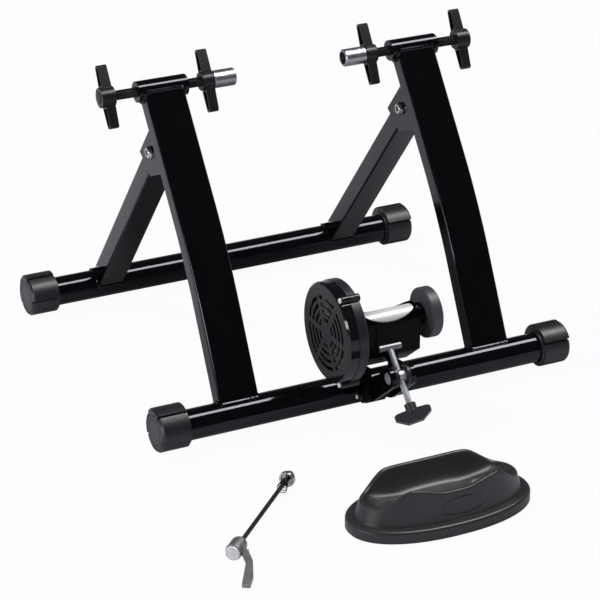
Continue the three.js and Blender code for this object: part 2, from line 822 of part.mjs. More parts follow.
function cradle() {
  const side = hull([
    ...circle(yokeFront, 28),
    [-yokeFront, -yokeFaceBottom],
    [yokeUnderBack, -yokeUnderside],
    [yokeFront, -yokeUnderside],
  ]);
  const body = alongX(outline(side), yokeLeft, yokeRight);
  const boss = rod(bossRadius, yokeRight - overrun, yokeRight + bossLength, 16);
  const pivot = [-axisFromPivot[0], -axisFromPivot[1]];
  const legs = [-1, 1].map((sign) => {
    const ends = [sign * (earOuter + seat), sign * legFace];
    const shape = hull([
      ...circle(yokeLegRadius, 20, pivot),
      [yokeFront, -yokeUnderside + overrun],
      [yokeFront - 2 * yokeLegRadius - overrun, -yokeUnderside + 2 * overrun],
    ]);
    return alongX(outline(shape), Math.min(...ends), Math.max(...ends));
  });
  const saddleX = (rollerLeft + rollerRight) / 2;
  const saddle = circle(saddleRadius, 72, [saddleX, saddleRise + saddleRadius]);
  const groovePoint = [axisFront - hookFront, hookRise - axisRise];
  const grooveHalf = crossBarLength / 2 + grooveClearance;
  return cut(
    join(body, boss, ...legs),
    boxBetween(
      [yokeLeft - overrun, -yokeFront - overrun, -yokeUnderside],
      [yokeStep, -yokeFront + yokeStepDepth, yokeFront + overrun],
    ),
    rod(troughRadius, rollerLeft - rollerEndGap, rollerRight + rollerEndGap, 28),
    alongY(outline(saddle), -yokeFront - overrun, yokeFront + overrun),
    rod(shaftRadius + seat, yokeLeft - overrun, yokeRight + bossLength + overrun, 20),
    rod(bearingRadius + seat, yokeLeft - overrun, yokeLeft + bearingWidth, 24),
    rod(bearingRadius + seat, yokeRight + bossLength - bearingWidth, yokeRight + bossLength + overrun, 24),
    rod(unitBoltRadius + seat, yokeLeft, yokeRight, 16).translate(0, ...pivot),
    rod(crossBarRadius + grooveClearance, -grooveHalf, grooveHalf, 20).translate(0, ...groovePoint),
  );
}

piece(unit, 'cradle', cradle(), 'cast_black');

// Roller, shaft, bearings and flywheel
const rollerBore = shaftRadius + seat;
piece(unit, 'roller', ring(rollerBore, rollerRadius, rollerLeft, rollerRight, 28), 'bright');
const bearing = (from) => ring(shaftRadius + seat, bearingRadius, from, from + bearingWidth - seat, 20);
piece(unit, 'left_bearing', bearing(yokeLeft), 'steel');
piece(unit, 'right_bearing', bearing(yokeRight + bossLength - bearingWidth + seat), 'steel');

const flywheelFrom = yokeRight + bossLength + flywheelGap;
const flywheelTo = flywheelFrom + flywheelWidth;

function flywheel() {
  const recess = flywheelTo - flywheelRecessDepth;
  return turned([
    [flywheelFrom, rollerBore],
    [flywheelFrom, flywheelRadius - flywheelEdge],
    [flywheelFrom + flywheelEdge, flywheelRadius],
    [flywheelTo - flywheelEdge, flywheelRadius],
    [flywheelTo, flywheelRadius - flywheelEdge],
    [flywheelTo, flywheelRecessRadius],
    [recess, flywheelRecessRadius - flywheelEdge],
    [recess, rollerBore],
    [flywheelFrom, rollerBore],
  ], 36);
}

piece(unit, 'flywheel', flywheel(), 'cast_black');
const shaftNutFrom = flywheelTo - flywheelRecessDepth + seat;
const shaftNut = hexNut(shaftNutRadius, shaftRadius + seat, shaftNutFrom, shaftNutFrom + shaftNutWidth);
piece(unit, 'flywheel_nut', shaftNut, 'steel');

// Housing: a back shell on the cradle's end and a vented cover held by screws
const backFace = yokeLeft - seat;
const backRim = backFace - housingBackDepth;
const coverFrom = backRim - seat;
const coverFace = coverFrom - coverDepth;
const screwAngles = Array.from({ length: screwCount }, (_, i) => (
  Math.PI / 2 + screwFirstAngle + screwStep * i
));
const screwSpots = screwAngles.map((angle) => [screwCircle * Math.cos(angle), screwCircle * Math.sin(angle)]);

function housingBack() {
  const inner = housingRadius - housingWall;
  const dish = turned([
    [backFace, housingHubRadius],
    [backFace, housingRadius - housingWall],
    [backFace - housingWall, housingRadius],
    [backRim, housingRadius],
    [backRim, inner],
    [backFace - housingWall, inner],
    [backFace - housingWall, housingHubRadius],
    [backFace, housingHubRadius],
  ], 48);
  const posts = screwSpots.map((spot) => rod(screwPostRadius, backRim, backFace, 12).translate(0, ...spot));
  const bore = rod(inner - seat, backRim - overrun, backFace - housingWall, 48);
  const holes = screwSpots.map((spot) => (
    rod(screwRadius + seat, backRim - overrun, backFace - housingWall, 10).translate(0, ...spot)
  ));
  return cut(join(dish, ...posts), bore, ...holes);
}

function ventHoles() {
  const holes = [];
  for (let sector = 0; sector < ventSectors; sector += 1) {
    for (let row = 0; row < ventRows; row += 1) {
      const radius = ventFirstRadius + row * ventPitch;
      const middle = ((sector + 0.5) * 2 * Math.PI) / ventSectors;
      const half = Math.PI / ventSectors - Math.asin(ventRib / 2 / radius);
      const outside = arc(radius + ventWidth / 2, middle - half, middle + half, ventSteps);
      const inside = arc(radius - ventWidth / 2, middle + half, middle - half, ventSteps);
      holes.push([...outside, ...inside]);
    }
  }
  return holes;
}

function ventedCover() {
  const inner = housingRadius - housingWall;
  const faceBack = coverFace + housingWall;
  const rimRadius = housingRadius - coverLip;
  const rim = turned([
    [coverFrom, inner - coverLip],
    [coverFrom, rimRadius],
    [coverFace + coverBevel, rimRadius],
    [coverFace, coverFaceRadius],
    [coverFace, coverFaceRadius - housingWall],
    [faceBack, coverFaceRadius - housingWall],
    [coverFace + coverBevel, inner - coverLip],
    [coverFrom, inner - coverLip],
  ], 48);
  const face = alongX(
    outline(circle(coverFaceRadius - housingWall / 2, 48), ...ventHoles()), coverFace, faceBack,
  );
  const posts = screwSpots.map((spot) => (
    rod(screwPostRadius, coverFace + screwSink, coverFrom, 12).translate(0, ...spot)
  ));
  const bore = rod(inner - coverLip, coverFace + coverBevel, coverFrom + overrun, 48);
  const holes = screwSpots.flatMap((spot) => [
    rod(screwRadius + seat, coverFace, coverFrom + overrun, 10).translate(0, ...spot),
    rod(screwHeadRadius + seat, coverFace - overrun, coverFace + screwSink, 16).translate(0, ...spot),
  ]);
  return cut(join(rim, face, ...posts), bore, ...holes);
}

function coverScrews() {
  const seatX = coverFace + screwSink - seat;
  return screwSpots.map((spot) => {
    const tip = backFace - housingWall - seat;
    const shank = rod(screwRadius, seatX - screwHeadHeight / 2, tip, 8);
    const head = rod(screwHeadRadius, seatX - screwHeadHeight, seatX, 12);
    return join(head, shank).translate(0, ...spot);
  });
}

piece(unit, 'housing_back', housingBack(), 'gloss_plastic');
piece(unit, 'vented_cover', ventedCover(), 'gloss_plastic');
coverScrews().forEach((screw, i) => piece(unit, `cover_screw_${i + 1}`, screw, 'steel'));

// Magnet plate on the back shell, with its magnets facing the aluminium disc
const plateFrom = backFace - housingWall - seat;
const plateTo = plateFrom - magnetPlateWall;

function magnetPlate() {
  const plate = ring(magnetPlateInner, magnetPlateRadius, plateTo, plateFrom, 32);
  const magnets = circle(magnetCircle, magnetCount).map((spot) => (
    rod(magnetRadius, plateTo - magnetHeight, plateTo + magnetPlateWall / 2, 10).translate(0, ...spot)
  ));
  return join(plate, ...magnets);
}

piece(unit, 'magnet_plate', magnetPlate(), 'magnet');

const discTo = plateTo - magnetHeight - discGap;
const discFrom = discTo - discWall;

function rotorDisc() {
  const plate = join(
    ring(rollerBore, discRadius, discFrom, discTo, 36),
    ring(rollerBore, discHubRadius, discFrom - discHubLength, discFrom + discWall / 2, 20),
  );
  const holes = circle(discHoleCircle, discHoles).map((spot) => (
    rod(discHoleRadius, discFrom - overrun, discTo + overrun, 12).translate(0, ...spot)
  ));
  return cut(plate, ...holes);
}

piece(unit, 'rotor_disc', rotorDisc(), 'aluminium');
const shaftFrom = discFrom - discHubLength - seat;
const shaftTo = shaftNutFrom + shaftNutWidth + seat;
piece(unit, 'roller_shaft', rod(shaftRadius, shaftFrom, shaftTo), 'steel');

// Adjuster: drawn in a frame whose +X is the trainer's and whose +Y runs up the screw to its cross bar
const hookPoint = [-hookFront, hookRise];
const screwRun = Math.hypot(hookPoint[0] - barrelPoint[0], hookPoint[1] - barrelPoint[1]);
const screwAngle = Math.atan2(hookPoint[1] - barrelPoint[1], hookPoint[0] - barrelPoint[0]);
const barrelGroup = place(front, 0, ...barrelPoint, screwAngle);
const adjuster = place(barrelGroup, 0, screwRun, 0);

function barrel() {
  const half = earOuter + barrelOverhang;
  const body = rod(barrelRadius, -half, half);
  const hole = rod(screwRodRadius + seat, -barrelRadius - overrun, barrelRadius + overrun);
  return cut(body, hole.rotateZ(Math.PI / 2));
}

piece(barrelGroup, 'barrel', barrel(), 'zinc');
for (const [name, side] of [['left', -1], ['right', 1]]) {
  const ends = [side * (earInner - seat), side * (earInner - seat - bushWidth)].sort((a, b) => a - b);
  piece(barrelGroup, `${name}_bush`, ring(barrelRadius + seat, bushRadius, ...ends, 20), 'rubber');
}

function crossBar() {
  const body = rod(crossBarRadius, -crossBarLength / 2, crossBarLength / 2, 20);
  const socket = rod(screwNeckRadius + seat, -crossBarRadius - overrun, crossBarBore - crossBarRadius);
  return cut(body, socket.rotateZ(Math.PI / 2));
}

piece(adjuster, 'cross_bar', crossBar(), 'zinc');

function adjusterScrew() {
  return turned([
    [-knobFromHook - knobCollarLength, 0],
    [-knobFromHook - knobCollarLength, screwRodRadius],
    [-crossBarRadius - seat, screwRodRadius],
    [-crossBarRadius - seat, screwNeckRadius],
    [crossBarBore - crossBarRadius - seat, screwNeckRadius],
    [crossBarBore - crossBarRadius - seat, 0],
  ], 20).rotateZ(Math.PI / 2);
}

function tKnob() {
  const top = -knobFromHook - knobCollarLength;
  const bottom = top - knobHeight;
  const face = [
    [-knobNose / 2, top + seat], [-knobSpan / 2 + knobShoulder / 2, top - seat],
    [-knobSpan / 2, top - knobShoulder / 3], [-knobSpan / 2, top - knobShoulder],
    [-knobGrip, bottom], [knobGrip, bottom],
    [knobSpan / 2, top - knobShoulder], [knobSpan / 2, top - knobShoulder / 3],
    [knobSpan / 2 - knobShoulder / 2, top - seat], [knobNose / 2, top + seat],
  ];
  const grip = alongZ(outline(face), -knobThickness / 2, knobThickness / 2);
  const collar = rod(knobCollarRadius, top - overrun, -knobFromHook, 24).rotateZ(Math.PI / 2);
  const bore = rod(screwRodRadius + seat, top - seat, -knobFromHook + overrun, 20).rotateZ(Math.PI / 2);
  return cut(join(grip, collar), bore).rotateY(-knobTurn);
}

piece(adjuster, 'adjuster_screw', adjusterScrew(), 'zinc');
piece(adjuster, 'adjuster_knob', tKnob(), 'knob_plastic');

// Skewer: lies on the floor with its lever open, +X of its frame from the nut to the cam
const skewer = place(trainer, skewerNutPlace.x, skewerNutPlace.y, camHousingRadius, 0, skewerAngle);

function skewerNut() {
  return turned([
    [-skewerNutLength, 0],
    [-skewerNutLength, skewerNutTip / 3],
    [-skewerNutLength + skewerNutTip / 4, skewerNutTip],
    [-skewerNutLength + skewerNutTip, skewerNutRadius * skewerNutTaperShares[0]],
    [-skewerNutBase - seat, skewerNutRadius * skewerNutTaperShares[1]],
    [-skewerNutBase, skewerNutRadius],
    [0, skewerNutRadius - seat],
    [0, skewerNutMouth],
    [-skewerNutMouthDepth, skewerNutMouth - seat],
    [-skewerNutMouthDepth, skewerRodRadius + seat],
    [-skewerNutLength + skewerNutTip, skewerRodRadius + seat],
    [-skewerNutLength + skewerNutTip, 0],
  ], 18);
}

const camFrom = skewerReach - camHousingLength;
const pinX = camFrom + camHousingLength * camPinShare;

function camHousing() {
  const barrelShape = turned([
    [camFrom, 0],
    [camFrom, camWaist],
    [camFrom + camHousingLength * camWaistShare, camHousingRadius],
    [skewerReach, camHousingRadius],
    [skewerReach, 0],
  ], 28);
  const across = camHousingRadius + overrun;
  return cut(
    barrelShape,
    rod(skewerRodRadius + seat, camFrom - overrun, camFrom + camHousingLength * camWaistShare, 16),
    rod(leverPinRadius + seat, -across, across, 20).rotateZ(Math.PI / 2).translate(pinX, 0, 0),
  );
}

function quickLever() {
  const [start, reach] = [leverSpine[0], leverThickness / 2];
  const pin = rod(leverPinRadius, -camHousingRadius, start[1] + leverPinRadius, 18).rotateZ(Math.PI / 2);
  const spine = leverSpine.map(([along, across]) => new THREE.Vector2(along, across));
  const sides = spine.map((point, i) => {
    const next = spine[Math.min(i + 1, spine.length - 1)].clone().sub(spine[Math.max(i - 1, 0)]).normalize();
    const across = new THREE.Vector2(-next.y, next.x).multiplyScalar(leverHalfWidths[i]);
    return [point.clone().add(across).toArray(), point.clone().sub(across).toArray()];
  });
  const plate = [...sides.map(([upper]) => upper), ...sides.map(([, lower]) => lower).reverse()];
  const arm = alongZ(outline(plate.reverse()), -reach, reach).rotateY(leverDip);
  return join(pin, arm).translate(pinX, 0, 0);
}

piece(skewer, 'skewer_nut', skewerNut(), 'steel');
const skewerTail = skewerNutLength - skewerNutTip - seat;
piece(skewer, 'skewer_rod', rod(skewerRodRadius, -skewerTail, camFrom + camHousingLength * camWaistShare - seat, 12), 'black_steel');
piece(skewer, 'cam_housing', camHousing(), 'steel');
const capFrom = skewerReach + seat;
piece(skewer, 'cam_cap', rod(camCapRadius, capFrom, capFrom + camCapThickness, 24), 'bright');
piece(skewer, 'quick_lever', quickLever(), 'chrome');

// Front wheel block: an oval base with a long trough whose walls rise to humps on either side
function ovalRing(halfLength, halfWidth, height) {
  return Array.from({ length: blockSteps }, (_, i) => {
    const angle = (2 * Math.PI * i) / blockSteps;
    const [c, s] = [Math.cos(angle), Math.sin(angle)];
    const x = halfLength * Math.sign(c) * Math.abs(c) ** (2 / blockPower);
    const y = halfWidth * Math.sign(s) * Math.abs(s) ** (2 / blockPower);
    return new THREE.Vector3(x, y, height(x / halfLength, s));
  });
}

function smooth(from, to, value) {
  const share = Math.min(Math.max((value - from) / (to - from), 0), 1);
  return share * share * (3 - 2 * share);
}

// The near wall dips between two humps; the far wall runs level and falls away at its ends
function wallTop(shareX, side) {
  const far = side > 0;
  const [hump, dip, bend, foot] = far ? [blockFarHump, blockFarDip, 0.52, 0.9] : [blockHump, blockDip, 0.55, 0.95];
  const fall = (hump - blockEnd) * smooth(bend, foot, Math.abs(shareX));
  return hump - fall - dip * (1 - smooth(0.1, 0.55, Math.abs(shareX)));
}

function wheelBlock() {
  const level = (z) => () => z;
  const [half, width] = [blockLength / 2, blockWidth / 2];
  const [bodyHalf, bodyWidth] = [half - blockLedge, width - blockLedge];
  const [topHalf, topWidth] = [bodyHalf - blockDraft, bodyWidth - blockDraft];
  const [lipHalf, lipWidth] = [topHalf - blockWall, topWidth - blockWall];
  const floorHalf = lipHalf - troughEndInset;
  const rise = wallTop(1, 1) - troughFloor;
  const floor = (shareX) => troughFloor + (rise / 4) * smooth(0.5, 1, Math.abs(shareX));
  const hollow = half - blockHollowWall;
  const rings = [
    ovalRing(hollow, width - blockHollowWall, level(blockHollowDepth)),
    ovalRing(hollow, width - blockHollowWall, level(0)),
    ovalRing(half, width, level(0)),
    ovalRing(half, width, level(blockRim - blockRimEdge)),
    ovalRing(half - blockRimEdge, width - blockRimEdge, level(blockRim)),
    ovalRing(bodyHalf, bodyWidth, level(blockRim)),
    ovalRing(topHalf, topWidth, (x, s) => wallTop(x, s) - blockLipDrop),
    ovalRing(topHalf - blockWall / 2, topWidth - blockWall / 2, wallTop),
    ovalRing(lipHalf, lipWidth, (x, s) => wallTop(x, s) - blockWall / 3),
    ovalRing((lipHalf + floorHalf) / 2, (lipWidth + troughHalfWidth) / 2, (x, s) => (wallTop(x, s) + floor(x)) / 2),
    ovalRing(floorHalf, troughHalfWidth, floor),
  ];
  const middles = [new THREE.Vector3(0, 0, blockHollowDepth), new THREE.Vector3(0, 0, troughFloor)];
  const positions = [...rings.flat(), ...middles].flatMap((point) => point.toArray());
  const corners = [];
  for (let r = 0; r < rings.length - 1; r += 1) {
    for (let i = 0; i < blockSteps; i += 1) {
      const next = (i + 1) % blockSteps;
      const [a, b] = [r * blockSteps + i, r * blockSteps + next];
      corners.push(a, b, b + blockSteps, a, b + blockSteps, a + blockSteps);
    }
  }
  const centre = rings.length * blockSteps;
  const lastRing = centre - blockSteps;
  for (let i = 0; i < blockSteps; i += 1) {
    const next = (i + 1) % blockSteps;
    corners.push(centre, next, i, centre + 1, lastRing + i, lastRing + next);
  }
  const geometry = new THREE.BufferGeometry();
  geometry.setAttribute('position', new THREE.Float32BufferAttribute(positions, 3));
  geometry.setIndex(corners);
  return whole(geometry);
}

piece(place(trainer, blockPlace.x, blockPlace.y, 0), 'front_wheel_block', wheelBlock(), 'block_plastic');

// The origin goes to the middle of the footprint, on the floor
trainer.updateMatrixWorld(true);
const footprint = new THREE.Box3().setFromObject(trainer, true).getCenter(new THREE.Vector3());
trainer.position.set(-footprint.x, -footprint.y, 0);

export default trainer;
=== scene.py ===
# %% [markdown]
# # A folding bike trainer, its axle skewer and its front wheel block
#
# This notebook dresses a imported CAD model. The solids are already in place, at their real size and
# with working joints, so nothing here is fitted by eye. Each step adds one finish or one small piece
# that the plain solids lack: soft edges, weld beads, threads, a wound spring, a moulded block.
#
# Blender works in metres and the sizes of such an object are easier to read in millimetres, so every
# length below is a number of millimetres times `MM`.

# %% Load the frame
import json
import math

import bmesh
import bpy
from mathutils import Matrix, Vector


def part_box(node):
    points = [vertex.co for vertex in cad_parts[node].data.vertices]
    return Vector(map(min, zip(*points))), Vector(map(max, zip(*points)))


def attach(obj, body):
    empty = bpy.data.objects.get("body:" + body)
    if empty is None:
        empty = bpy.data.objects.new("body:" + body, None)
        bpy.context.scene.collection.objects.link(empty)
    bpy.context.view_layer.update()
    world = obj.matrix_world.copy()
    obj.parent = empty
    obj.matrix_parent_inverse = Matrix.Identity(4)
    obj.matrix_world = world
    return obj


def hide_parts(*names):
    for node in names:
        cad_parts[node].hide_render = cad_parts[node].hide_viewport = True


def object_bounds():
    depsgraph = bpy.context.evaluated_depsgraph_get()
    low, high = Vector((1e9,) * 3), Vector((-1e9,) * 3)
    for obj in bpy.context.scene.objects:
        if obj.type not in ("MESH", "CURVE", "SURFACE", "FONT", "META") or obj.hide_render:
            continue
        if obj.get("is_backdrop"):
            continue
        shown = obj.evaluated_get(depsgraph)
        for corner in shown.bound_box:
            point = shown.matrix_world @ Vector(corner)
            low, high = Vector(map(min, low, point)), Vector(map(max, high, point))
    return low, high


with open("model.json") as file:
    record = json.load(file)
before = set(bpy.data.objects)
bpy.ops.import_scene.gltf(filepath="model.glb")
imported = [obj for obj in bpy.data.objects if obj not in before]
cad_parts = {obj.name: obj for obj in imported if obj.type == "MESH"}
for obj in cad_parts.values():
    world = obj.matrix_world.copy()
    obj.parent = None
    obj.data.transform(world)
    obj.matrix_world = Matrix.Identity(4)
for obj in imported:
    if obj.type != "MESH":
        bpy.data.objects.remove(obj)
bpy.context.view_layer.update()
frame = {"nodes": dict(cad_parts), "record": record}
MM = 0.001
nodes = frame["nodes"]

# %% [markdown]
# ## Where things are
#
# The trainer was drawn with the front crossbar over y = 0 and then centred on its footprint. Two
# boxes of the frame give that shift back: the crossbar's axis fixes y and the height, and the two
# uprights fix x. Every detail below starts from these points.

# %% Reference points
def middle(name):
    """The centre of a solid's box."""
    low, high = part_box(name)
    return (low + high) / 2


front_axis = middle("front_crossbar")
front_axis.x = (middle("left_upright").x + middle("right_upright").x) / 2
shift = Vector((front_axis.x, front_axis.y, 0))
sleeve = {side: middle(f"{side}_axle_sleeve") for side in ("left", "right")}
print("front bar axis at", [round(v / MM, 2) for v in front_axis])

# %% [markdown]
# ## Shader maths that reads like maths
#
# A material in Blender is a graph of nodes. Wiring one by hand takes a line for each link, which
# hides the idea. `Wire` wraps the output of a node and overloads the operators, so that
# `0.1 + 0.2 * grain` adds the two Math nodes that it needs. The reflected forms are there too, so
# that `1 - mask` works with the number on the left.

# %% A socket that can be added and scaled
class Wire:
    def __init__(self, graph, socket):
        self.graph = graph
        self.socket = socket

    def math(self, operation, first, second=0.0):
        return self.graph.node("ShaderNodeMath", {"operation": operation}, {0: first, 1: second})

    def __add__(self, other):
        return self.math("ADD", self, other)

    def __sub__(self, other):
        return self.math("SUBTRACT", self, other)

    def __rsub__(self, other):
        return self.math("SUBTRACT", other, self)

    def __mul__(self, other):
        return self.math("MULTIPLY", self, other)

    __radd__ = __add__
    __rmul__ = __mul__


# %% [markdown]
# ## One method for every other node
#
# `Graph` is a node tree under construction. Its `node` method takes a node's type, then its settings,
# then what goes into its sockets: a number, a colour, or another `Wire`. Colours are mixed with the
# Mix node, because a Math node would turn them grey. A `Finish` is the graph of one material, and the
# world gets a graph of its own further down.

# %% A graph under construction
class Graph:
    def __init__(self, tree):
        self.tree = tree

    def feed(self, socket, value):
        if isinstance(value, Wire):
            self.tree.links.new(value.socket, socket)
        elif hasattr(value, "__len__") and len(value) == 3 and socket.type == "RGBA":
            socket.default_value = (*value, 1)
        else:
            socket.default_value = value

    def node(self, kind, settings=None, sockets=None, out=0):
        made = self.tree.nodes.new(kind)
        for key, value in (settings or {}).items():
            if key == "stops":
                for (place, shade), stop in zip(value, made.color_ramp.elements):
                    stop.position, stop.color = place, (shade, shade, shade, 1)
            else:
                setattr(made, key, value)
        for key, value in (sockets or {}).items():
            self.feed(made.inputs[key], value)
        return Wire(self, made.outputs[out])

    def steps(self, value, low, high):
        """0 below low, 1 above high, and a ramp between them."""
        return self.node("ShaderNodeValToRGB", {"stops": [(low, 0), (high, 1)]}, {0: value})

    def ray(self, kind):
        """1 for a ray of that kind (Camera, Glossy or Transmission), and 0 for any other."""
        return self.node("ShaderNodeLightPath", out=f"Is {kind} Ray")

    def mirrored(self):
        """1 for what is seen by reflection or through glass."""
        return self.ray("Glossy") + self.ray("Transmission")


# %% A finish is the graph of a material
class Finish(Graph):
    def __init__(self, name, **constants):
        self.material = bpy.data.materials.new(name)
        self.material.use_nodes = True
        super().__init__(self.material.node_tree)
        self.shader = self.tree.nodes["Principled BSDF"]
        self.wear(**constants)

    def place(self, stretch=(1, 1, 1)):
        """The point on the piece, in metres. It moves with the piece, so no pattern slides."""
        point = self.node("ShaderNodeTexCoord", out="Object")
        return self.node("ShaderNodeVectorMath", {"operation": "MULTIPLY"}, {0: point, 1: stretch})

    def grain(self, size, detail=2.0, stretch=(1, 1, 1)):
        """Soft noise from 0 to 1 whose lumps are about that size."""
        return self.node("ShaderNodeTexNoise", None,
                         {"Vector": self.place(stretch), "Scale": 1 / size, "Detail": detail})

    def blend(self, share, first, second):
        return self.node("ShaderNodeMix", {"data_type": "RGBA"}, {0: share, 6: first, 7: second}, out=2)

    def relief(self, height, depth, before=None):
        """A bump that is that deep in metres. It can be laid over another one."""
        sockets = {"Height": height, "Distance": depth, "Strength": 1.0}
        if before:
            sockets["Normal"] = before
        return self.node("ShaderNodeBump", None, sockets)

    def wear(self, **sockets):
        for socket, value in sockets.items():
            self.feed(self.shader.inputs[socket.replace("_", " ")], value)
        return self.material


# %% [markdown]
# ## Gloss powder coat
#
# The frame is steel tube in gloss black powder coat. The powder melts into a smooth film that never
# lies quite flat: up close it has a faint orange peel, about 2 mm from crest to crest and a few
# microns deep. That peel is what breaks up the edge of a reflection. A bump gives it, and a slow
# change of roughness stands for handling marks.

# %% Powder coat
def powder_coat():
    finish = Finish("powder_coat", Specular_IOR_Level=0.4, Specular_Tint=(0.9, 0.88, 1.0, 1))
    peel = finish.grain(2.2 * MM, 1.0)
    handling = finish.grain(45 * MM, 3.0)
    return finish.wear(
        Base_Color=finish.blend(handling, (0.003, 0.0026, 0.0036), (0.0056, 0.005, 0.0068)),
        Roughness=0.06 + 0.06 * handling,
        Normal=finish.relief(peel, 0.006 * MM),
    )


# %% [markdown]
# ## Rubber and moulded plastic
#
# Moulded parts take their skin from the mould, which is spark eroded to a fine even grain so that
# the part doesn't look wet. One recipe serves them all, with the colour, the gloss and the size of
# the grain set for each: soft rubber for the foot caps, glass filled nylon for the knobs, satin
# plastic for the wheel block, and a nearly mirror smooth skin for the housing. The satin paint on
# the flywheel and on the rim of the housing has the same even skin, so it uses the recipe too.

# %% Moulded skins
def moulded(name, dark, light, roughness, grain_size, depth, specular=0.5):
    """The size and the depth of the grain are in millimetres."""
    finish = Finish(name, Specular_IOR_Level=specular)
    skin = finish.grain(grain_size * MM, 2.0)
    flow = finish.grain(30 * MM, 3.0)
    return finish.wear(
        Base_Color=finish.blend(0.7 * flow + 0.3 * skin, dark, light),
        Roughness=roughness + 0.1 * flow,
        Normal=finish.relief(skin, depth * MM),
    )


# %% [markdown]
# ## Plated and bare metal
#
# A metal takes its look from how rough it is and how evenly. A turned part has fine rings round its
# axis, and since nearly every turned part of this object lies along X or close to it, noise that is
# squeezed along X draws them. A slow cloudiness stands for handling, and it is strongest on plate.

# %% Metals
def metal(name, dark, light, roughness, ring_size, depth, metallic=1.0):
    """The size and the depth of the rings are in millimetres."""
    finish = Finish(name, Metallic=metallic)
    rings = finish.grain(ring_size * MM, 2.0, (1, 0.08, 0.08))
    cloud = finish.grain(9 * MM, 3.0)
    return finish.wear(
        Base_Color=finish.blend(cloud, dark, light),
        Roughness=roughness + 0.12 * cloud + 0.05 * rings,
        Normal=finish.relief(rings, depth * MM),
    )


# %% [markdown]
# ## Cast iron under satin paint
#
# The cradle is a casting. Sand leaves a lumpy skin, and paint rounds it off. Two layers of relief
# do that: lumps of 3.5 mm and a fine grain on top of them.

# %% Cast and painted
def cast_paint():
    finish = Finish("cast_paint", Specular_IOR_Level=0.08)
    lumps = finish.grain(3.5 * MM, 2.0)
    sand = finish.grain(0.7 * MM, 1.0)
    patches = finish.steps(finish.grain(14 * MM, 4.0), 0.35, 0.7)
    return finish.wear(
        Base_Color=finish.blend(patches, (0.002, 0.0021, 0.0026), (0.0045, 0.0046, 0.0056)),
        Roughness=0.16 + 0.12 * patches,
        Normal=finish.relief(sand, 0.01 * MM, finish.relief(lumps, 0.03 * MM)),
    )


# %% [markdown]
# ## The list of finishes
#
# The imported record names a material slot for each solid, and each slot gets one finish here. A new
# piece takes its finish by the same slot name. The two tables hold a dark and a light colour, the
# roughness, the size and depth of the grain in millimetres, and last the gloss of a moulded skin, or
# how metallic a metal is. Bright parts are nearly white and less than fully metallic, so that they
# stay pale under any sky: their paleness is a painted reflection of the white studio. A few solids
# are satin or paler than the rest of their slot, and get another finish by name.

# %% Moulded parts
moulded_skins = {
    "rubber": ((0.014, 0.0155, 0.0195), (0.025, 0.027, 0.033), 0.34, 0.5, 0.02, 0.5),
    "knob_plastic": ((0.01, 0.0102, 0.0125), (0.018, 0.0184, 0.0225), 0.3, 0.35, 0.01, 0.35),
    "gloss_plastic": ((0.006, 0.006, 0.008), (0.011, 0.011, 0.0145), 0.04, 4, 0.004, 0.5),
    "block_plastic": ((0.032, 0.0315, 0.036), (0.047, 0.0465, 0.052), 0.3, 0.45, 0.018, 0.45),
    "satin_cast": ((0.05, 0.053, 0.063), (0.08, 0.085, 0.1), 0.4, 0.8, 0.02, 0.5),
    "satin_knob": ((0.035, 0.035, 0.044), (0.058, 0.058, 0.072), 0.34, 0.5, 0.015, 0.5),
    "satin_rim": ((0.015, 0.0165, 0.023), (0.024, 0.0265, 0.036), 0.3, 0.6, 0.01, 0.5),
}
print(len(moulded_skins), "moulded skins")

# %% Metal parts
metals = {
    "chrome": ((0.4, 0.41, 0.44), (0.5, 0.51, 0.54), 0.26, 0.5, 0.0, 1.0),
    "zinc": ((0.62, 0.67, 0.7), (0.78, 0.83, 0.86), 0.36, 0.4, 0.004, 0.6),
    "steel": ((0.5, 0.5, 0.5), (0.68, 0.67, 0.64), 0.2, 0.4, 0.003, 1.0),
    # Painted reflection: nearly white and barely metallic, so these steel parts look pale under any
    # light.
    "bright": ((0.93, 0.93, 0.94), (0.98, 0.98, 0.98), 0.34, 0.35, 0.003, 0.12),
    "black_steel": ((0.02, 0.018, 0.016), (0.05, 0.045, 0.04), 0.36, 0.4, 0.004, 0.75),
    "aluminium": ((0.7, 0.57, 0.42), (0.88, 0.76, 0.6), 0.5, 0.4, 0.004, 1.0),
    "magnet": ((0.3, 0.3, 0.32), (0.45, 0.45, 0.47), 0.25, 0.4, 0.002, 1.0),
    "satin_silver": ((0.27, 0.27, 0.285), (0.39, 0.39, 0.41), 0.36, 0.5, 0.004, 0.8),
}
print(len(metals), "metals")

# %% Finishes by slot
finishes = {"paint": powder_coat(), "cast_black": cast_paint()}
finishes.update({slot: moulded(slot, *look) for slot, look in moulded_skins.items()})
finishes.update({slot: metal(slot, *look) for slot, look in metals.items()})
slot_of = {part["node"]: part["material_slot"] for part in frame["record"]["subparts"]}
slot_of.update({
    "unit_bolt": "black_steel", "left_lock_washer": "black_steel", "right_lock_washer": "black_steel",
    # The cover screws take the bright finish: their pale colour is a painted highlight.
    "unit_nut": "steel", "cover_screw_1": "bright", "cover_screw_2": "bright",
    "flywheel": "satin_cast", "adjuster_knob": "satin_knob", "housing_back": "satin_rim",
    "quick_lever": "satin_silver", "cam_housing": "satin_silver", "cross_bar": "satin_silver",
})
print(f"{len(finishes)} finishes, {len(slot_of)} solids with a slot")

# %% [markdown]
# ## Soft edges
#
# A solid from CAD has flat facets and perfectly sharp corners, and no real part has either. Three
# modifiers mend that without touching the mesh. Weld joins the corners that the file keeps apart,
# Decimate in planar mode merges the triangles of each flat face, and Bevel then rounds only the true
# corners. The rounding is what catches a thin bright line along every edge.
#
# The last step is a small geometry node group. It shades a facet smoothly into its neighbour where
# they meet at a shallow angle, so that a tube looks round, and keeps the rest crisp.

